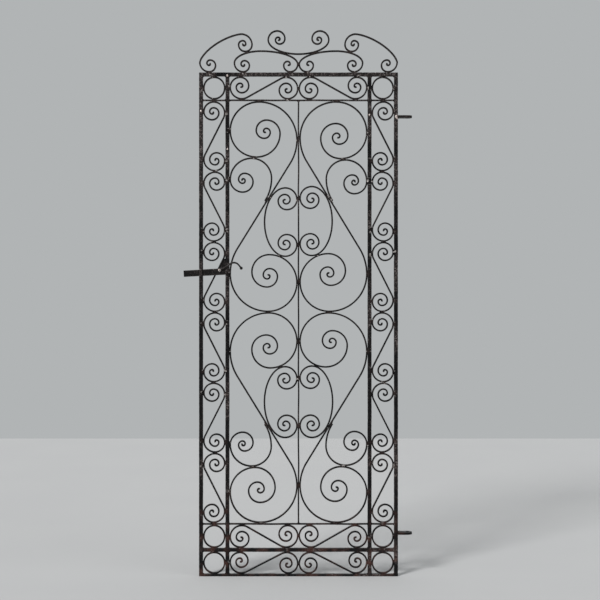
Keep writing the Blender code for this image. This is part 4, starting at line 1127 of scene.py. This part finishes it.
# %% Turn a profile
def turned(centre, profile, sides=28, seed=1, marks=0.012, hexagon=None):
    """y and radius from the profile, spun: (x + r cos, y, z + r sin), r waved a little.

    With a hexagon, r is the less of the profile's radius and flat / cos(angle from flat)."""
    profile = np.array(profile)
    around = np.linspace(0, 2 * math.pi, sides, endpoint=False)
    radius = np.repeat(profile[:, 1:2], sides, axis=1)
    if hexagon is not None:
        from_flat = (around + math.pi / 6) % (math.pi / 3) - math.pi / 6
        radius = np.minimum(radius, hexagon / np.cos(from_flat)[None, :])
    radius = radius * (1 + marks * hammer_marks(profile[:, 0], around, 0.006, seed, waves=6))
    grid = np.stack([centre[0] + radius * np.cos(around), np.repeat(profile[:, :1], sides, axis=1),
                     centre[1] + radius * np.sin(around)], axis=-1)
    return grid, np.full(grid.shape[:2], 0.4), False


def dome(base_y, high, radius, rows=8):
    """Part of an ellipse from its tip to its rim: y = base - high cos, radius sin."""
    angle = np.linspace(0.12, math.pi / 2, rows)
    return list(zip(base_y - high * np.cos(angle), radius * np.sin(angle)))


print("a dome's rim is", dome(0.0, 0.0022, 0.005)[-1][1], "from its middle")

# %% Turn the rivet, the bolt and the nut
rivet_low, rivet_high = box["latch_rivet"]
rivet_radius = (rivet_high[0] - rivet_low[0]) / 2
RIVET_HEAD_HIGH, RIVET_SHANK = 0.0022, 0.0030
face = rivet_low[1] + RIVET_HEAD_HIGH
profile = dome(face, RIVET_HEAD_HIGH, rivet_radius) + [(face + 0.0002, rivet_radius * 0.97),
                                                       (face + 0.0003, RIVET_SHANK),
                                                       (rivet_high[1], RIVET_SHANK)]
add_piece("turned_latch_rivet", [turned(rivet_at, profile, seed=503, marks=0.02)], rivet_iron,
          body="latch", stands_for=["latch_rivet"])

bolt_low, bolt_high = box["latch_pivot_bolt"]
PIVOT_HEAD, PIVOT_HEAD_HIGH, PIVOT_RADIUS = 0.0075, 0.0035, 0.0040
face = bolt_low[1] + PIVOT_HEAD_HIGH
profile = dome(face, PIVOT_HEAD_HIGH, PIVOT_HEAD) + [(face + 0.0001, PIVOT_HEAD * 0.97),
                                                     (face + 0.0002, PIVOT_RADIUS),
                                                     (bolt_high[1] - 0.0008, PIVOT_RADIUS),
                                                     (bolt_high[1], PIVOT_RADIUS * 0.75)]
add_piece("turned_pivot_bolt", [turned(pivot, profile, seed=504, marks=0.02)], latch_iron,
          stands_for=["latch_pivot_bolt"])

nut_low, nut_high = box["latch_pivot_nut"]
nut_flat = min(nut_high[0] - nut_low[0], nut_high[2] - nut_low[2]) / 2
nut_corner, CHAMFER = nut_flat / math.cos(math.pi / 6), 0.0009
profile = [(nut_low[1], PIVOT_RADIUS * 1.05), (nut_low[1], nut_flat * 0.97),
           (nut_low[1] + CHAMFER, nut_corner), (nut_high[1] - CHAMFER, nut_corner),
           (nut_high[1], nut_flat * 0.97), (nut_high[1], PIVOT_RADIUS * 1.05)]
nut = turned(pivot, profile, sides=48, seed=505, marks=0.004, hexagon=nut_flat)
add_piece("turned_pivot_nut", [nut], latch_iron, stands_for=["latch_pivot_nut"])
print("the nut is %.1f mm across its flats" % (2000 * nut_flat))

# %% [markdown]
# The guide is a strap bent into a staple: out from the stile, up past the bar and back. Its
# line lies in the plane that cuts through the gate, so it is forged flat and then turned a
# quarter of the way round.

# %% Bend the guide
guide_low, guide_high = box["latch_guide"]
GUIDE_LEG, GUIDE_BEND, INTO_STILE = 0.0040, 0.0030, 0.0006
foot_y, front_y = -guide_high[1], -(guide_low[1] + GUIDE_LEG / 2)
low_z, high_z = guide_low[2] + GUIDE_LEG / 2, guide_high[2] - GUIDE_LEG / 2
first = bend((front_y - GUIDE_BEND, low_z), RIGHT, GUIDE_BEND, math.pi / 2)
second = bend((front_y, high_z - GUIDE_BEND), UP, GUIDE_BEND, math.pi / 2)
path = np.vstack([[(foot_y - INTO_STILE, low_z, RIGHT)], first, second,
                  [(foot_y - INTO_STILE, high_z, LEFT)]])
section = rounded_section(GUIDE_LEG, guide_high[0] - guide_low[0], 0.0009, flats=4)
grid, edge, closed = forge(even(path, 0.0015), section, marks=0.00010, seed=506, end_round=0.0003)
guide_x = (guide_low[0] + guide_high[0]) / 2
grid = np.stack([guide_x + grid[..., 1], -grid[..., 0], grid[..., 2]], axis=-1)
add_piece("bent_latch_guide", [(grid, edge, closed)], frame_paint, stands_for=["latch_guide"])
foot_beads = [bead(guide_x, z, RIGHT, 0.0060, 0.0022, 0.0018, 520 + k, y=-BAR_DEEP / 2 - 0.0004)
              for k, z in enumerate((low_z - 0.002, high_z + 0.002))]
add_piece("weld_beads_guide", foot_beads, weld_paint)
print("the guide stands %.1f mm out from the stile" % (1000 * (guide_high[1] - guide_low[1])))

# %% [markdown]
# The gusset is a small plate fitted into the wedge between a scroll and the inner stile. A
# plate is its outline carried through its thickness, drawn in a little at both faces so that
# its arrises are soft.

# %% A plate from its outline
def plate(outline, low_y, high_y, soft, marks=0.00010, seed=1, close=0.0008):
    """Outline points moved towards their middle by an inset that follows a quarter circle."""
    outline = np.array(outline)
    sides = np.roll(outline, -1, axis=0) - outline
    parts = [outline[k] + np.linspace(0, 1, max(2, math.ceil(np.hypot(*sides[k]) / close)),
                                      endpoint=False)[:, None] * sides[k] for k in range(len(outline))]
    points = np.vstack(parts)
    middle = points.mean(axis=0)
    outward = (points - middle) / np.linalg.norm(points - middle, axis=1, keepdims=True)
    angle = np.radians([90, 60, 30, 0])
    inset, rise = soft * (1 - np.cos(angle)), soft * (1 - np.sin(angle))
    inset = np.concatenate([[4 * soft], inset, inset[::-1], [4 * soft]])
    y = np.concatenate([[low_y], low_y + rise, high_y - rise[::-1], [high_y]])
    wave = hammer_marks(np.arange(len(y)) * 0.002, np.linspace(0, 2 * math.pi, len(points)), 0.01, seed)
    flat = points[None] - outward[None] * (inset[:, None, None] - marks * wave[..., None])
    grid = np.stack([flat[..., 0], np.repeat(y[:, None], len(points), axis=1), flat[..., 1]], axis=-1)
    edge = np.repeat((inset < 3 * soft).astype(float)[:, None], len(points), axis=1)
    return grid, edge, False


square = plate([(0, 0), (0.02, 0), (0.02, 0.02), (0, 0.02)], 0, 0.004, 0.0005)
print("a plate of 20 mm square has a grid of", square[0].shape[:2])

# %% Cut the gusset
gusset_low, gusset_high = box["latch_gusset"]
high, low = side_scroll(2)[1]
run = (low - high) / np.linalg.norm(low - high)


def diagonal_x(z):
    """Where the face of the scroll's straight stands at a height."""
    return high[0] + (z - high[1]) * run[0] / run[1] + SCROLL_THICK / 2 / abs(run[1]) - 0.0004


stile_x = gusset_high[0] + 0.0006
wedge = [(diagonal_x(gusset_low[2]), gusset_low[2]), (stile_x, gusset_low[2]),
         (stile_x, gusset_high[2]), (min(diagonal_x(gusset_high[2]), stile_x - 0.0008), gusset_high[2])]
add_piece("cut_latch_gusset", [plate(wedge, gusset_low[1], gusset_high[1], 0.0005, seed=507)],
          frame_paint, stands_for=["latch_gusset"])
print("the gusset is %.1f mm tall" % (1000 * (gusset_high[2] - gusset_low[2])))

# %% [markdown]
# ## The hinge eyes
#
# Each is a flat strap, standing out level from the hinge stile, with a round end and a hole
# for the post's pin. All the sections through it and the hole's middle line make a closed
# ring: down the hole's wall, out under the strap, round its edge and back over the top.

# %% The shape of a hinge eye
HINGE_BORE, HINGE_END = 0.0060, 0.0150
SIDE_POINTS, NOSE_POINTS, BACK_POINTS = 26, 34, 22      # how many along each part of the outline
SOFT_EDGE, BORE_LIP = 0.0010, 0.0005


def strap_outline(centre_x, inner_x):
    """Lower side, half circle round the hole's middle, upper side and back, from above."""
    run = (centre_x - inner_x) * np.linspace(0, 1, SIDE_POINTS, endpoint=False)
    turn = np.linspace(-math.pi / 2, math.pi / 2, NOSE_POINTS, endpoint=False)
    down = HINGE_END - 2 * HINGE_END * np.linspace(0, 1, BACK_POINTS, endpoint=False)
    return np.vstack([np.column_stack([inner_x + run, np.full(SIDE_POINTS, -HINGE_END)]),
                      np.column_stack([centre_x + HINGE_END * np.cos(turn), HINGE_END * np.sin(turn)]),
                      np.column_stack([centre_x - run, np.full(SIDE_POINTS, HINGE_END)]),
                      np.column_stack([np.full(BACK_POINTS, inner_x), down])])


def eye(low, high, seed):
    """For each angle about the hole: radius runs from the bore to the outline, height between."""
    centre_x = high[0] - HINGE_END
    outline = strap_outline(centre_x, low[0] - 0.0008)
    offset = outline - np.array([centre_x, 0])
    reach = np.linalg.norm(offset, axis=1)
    way = offset / reach[:, None]
    soft, lip, top, bottom = SOFT_EDGE, BORE_LIP, high[2], low[2]
    share = np.array([0.0, 0.0, 0.0, 0.5, 1.0, 1.0, 1.0, 1.0, 1.0, 1.0, 0.5, 0.0, 0.0])
    extra = np.array([0.0, 0.0, lip, 0.0, -soft, -soft * 0.3, 0.0, 0.0, -soft * 0.3, -soft, 0.0, lip, 0.0])
    level = np.array([(top + bottom) / 2, top - lip, top, top, top, top - soft * 0.3, top - soft,
                      bottom + soft, bottom + soft * 0.3, bottom, bottom, bottom, bottom + lip])
    radius = HINGE_BORE + (reach[:, None] - HINGE_BORE) * share + extra
    wave = hammer_marks(np.linspace(0, 0.12, len(outline)), np.linspace(0, 2 * math.pi, 13), 0.02, seed)
    radius = radius + 0.00012 * wave * (share > 0.9)
    grid = np.stack([centre_x + way[:, :1] * radius, way[:, 1:] * radius,
                     np.repeat(level[None, :], len(outline), axis=0)], axis=-1)
    edge = np.broadcast_to((np.abs(extra) > 0).astype(float), grid.shape[:2])
    return grid, edge, True


print("a strap's outline has", len(strap_outline(0.03, 0.0)), "points")

# %% Forge the hinge eyes
for number, name in enumerate(("hinge_eye_top", "hinge_eye_bottom")):
    add_piece("forged_" + name, [eye(*box[name], 510 + number)], hinge_iron, stands_for=[name])
    low, high = box[name]
    found = [bead(low[0] + 0.0006, z, 0.0, 0.0022, 0.0018, 0.0064, 530 + number)
             for z in (low[2], high[2])]
    add_piece("weld_beads_" + name, found, weld_paint)
print("hinge eyes at", [round(float(box[n][0, 2]), 4) for n in ("hinge_eye_top", "hinge_eye_bottom")])

# %% [markdown]
# ## Floor, light and camera
#
# A plain pale floor, one soft light from the upper left, a weaker one from the right,
# and an even pale sky. The camera looks level at the gate from a little over four metres, so
# that the stiles stay parallel, and its frame is shifted down slightly.

# %% Lay the floor and hang the sky
FLOOR_SIDE, FLOOR_BACK = 16.0, 3.66    # the far edge of the floor lies this far behind the gate
bpy.ops.mesh.primitive_plane_add(size=FLOOR_SIDE, location=(0, FLOOR_BACK - FLOOR_SIDE / 2, 0))
floor = bpy.context.object
floor.name = "floor"
floor_finish, floor_shader, start = new_finish("pale floor")
mottle = start.node("TexNoise", inputs={"Vector": start.node("TexCoord", output="Object"),
                                        "Scale": 2.2, "Detail": 4.0})
connect(floor_shader, {"Base Color": mottle.step(0.3, 0.7).blend((0.496, 0.496, 0.498, 1),
                                                                 (0.505, 0.505, 0.505, 1))})
floor_shader.inputs["Roughness"].default_value = 0.75
floor.data.materials.append(floor_finish)

sky = bpy.data.worlds.new("even sky")
sky.use_nodes = True
sky.node_tree.nodes["Background"].inputs["Color"].default_value = (0.80, 0.83, 0.84, 1)
sky.node_tree.nodes["Background"].inputs["Strength"].default_value = 0.55
bpy.context.scene.world = sky
print("floor %.0f m square, far edge at y = %.2f" % (FLOOR_SIDE, FLOOR_BACK))

# %% Light it
def soft_light(name, way, spread, strength):
    """Far lamp that shines along way; its disc is spread wide, so its shadows are soft."""
    lamp = bpy.data.lights.new(name, "SUN")
    lamp.angle = spread
    lamp.energy = strength
    holder = bpy.data.objects.new(name, lamp)
    holder.rotation_euler = (math.atan2(math.hypot(way[0], way[1]), -way[2]), 0,
                             math.atan2(-way[0], way[1]))
    bpy.context.scene.collection.objects.link(holder)


soft_light("key", (0.55, 0.72, -0.62), math.radians(16), 3.0)
soft_light("fill", (-0.75, 0.50, -0.45), math.radians(40), 0.45)
print("lamps:", [lamp.name for lamp in bpy.data.lights])

# %% Set up the camera
LENS, SENSOR = 78.1, 36.0
camera = bpy.data.objects.new("camera", bpy.data.cameras.new("camera"))
camera.data.lens = LENS
camera.data.sensor_width = SENSOR
camera.data.shift_y = -0.040
camera.location = (0.005, -4.33, 0.9977)
camera.rotation_euler = (math.pi / 2, 0, 0)
bpy.context.scene.collection.objects.link(camera)
bpy.context.scene.camera = camera
bpy.context.scene.view_settings.view_transform = "Standard"
print("camera %.2f m from the gate, %.2f m up" % (-camera.location.y, camera.location.z))
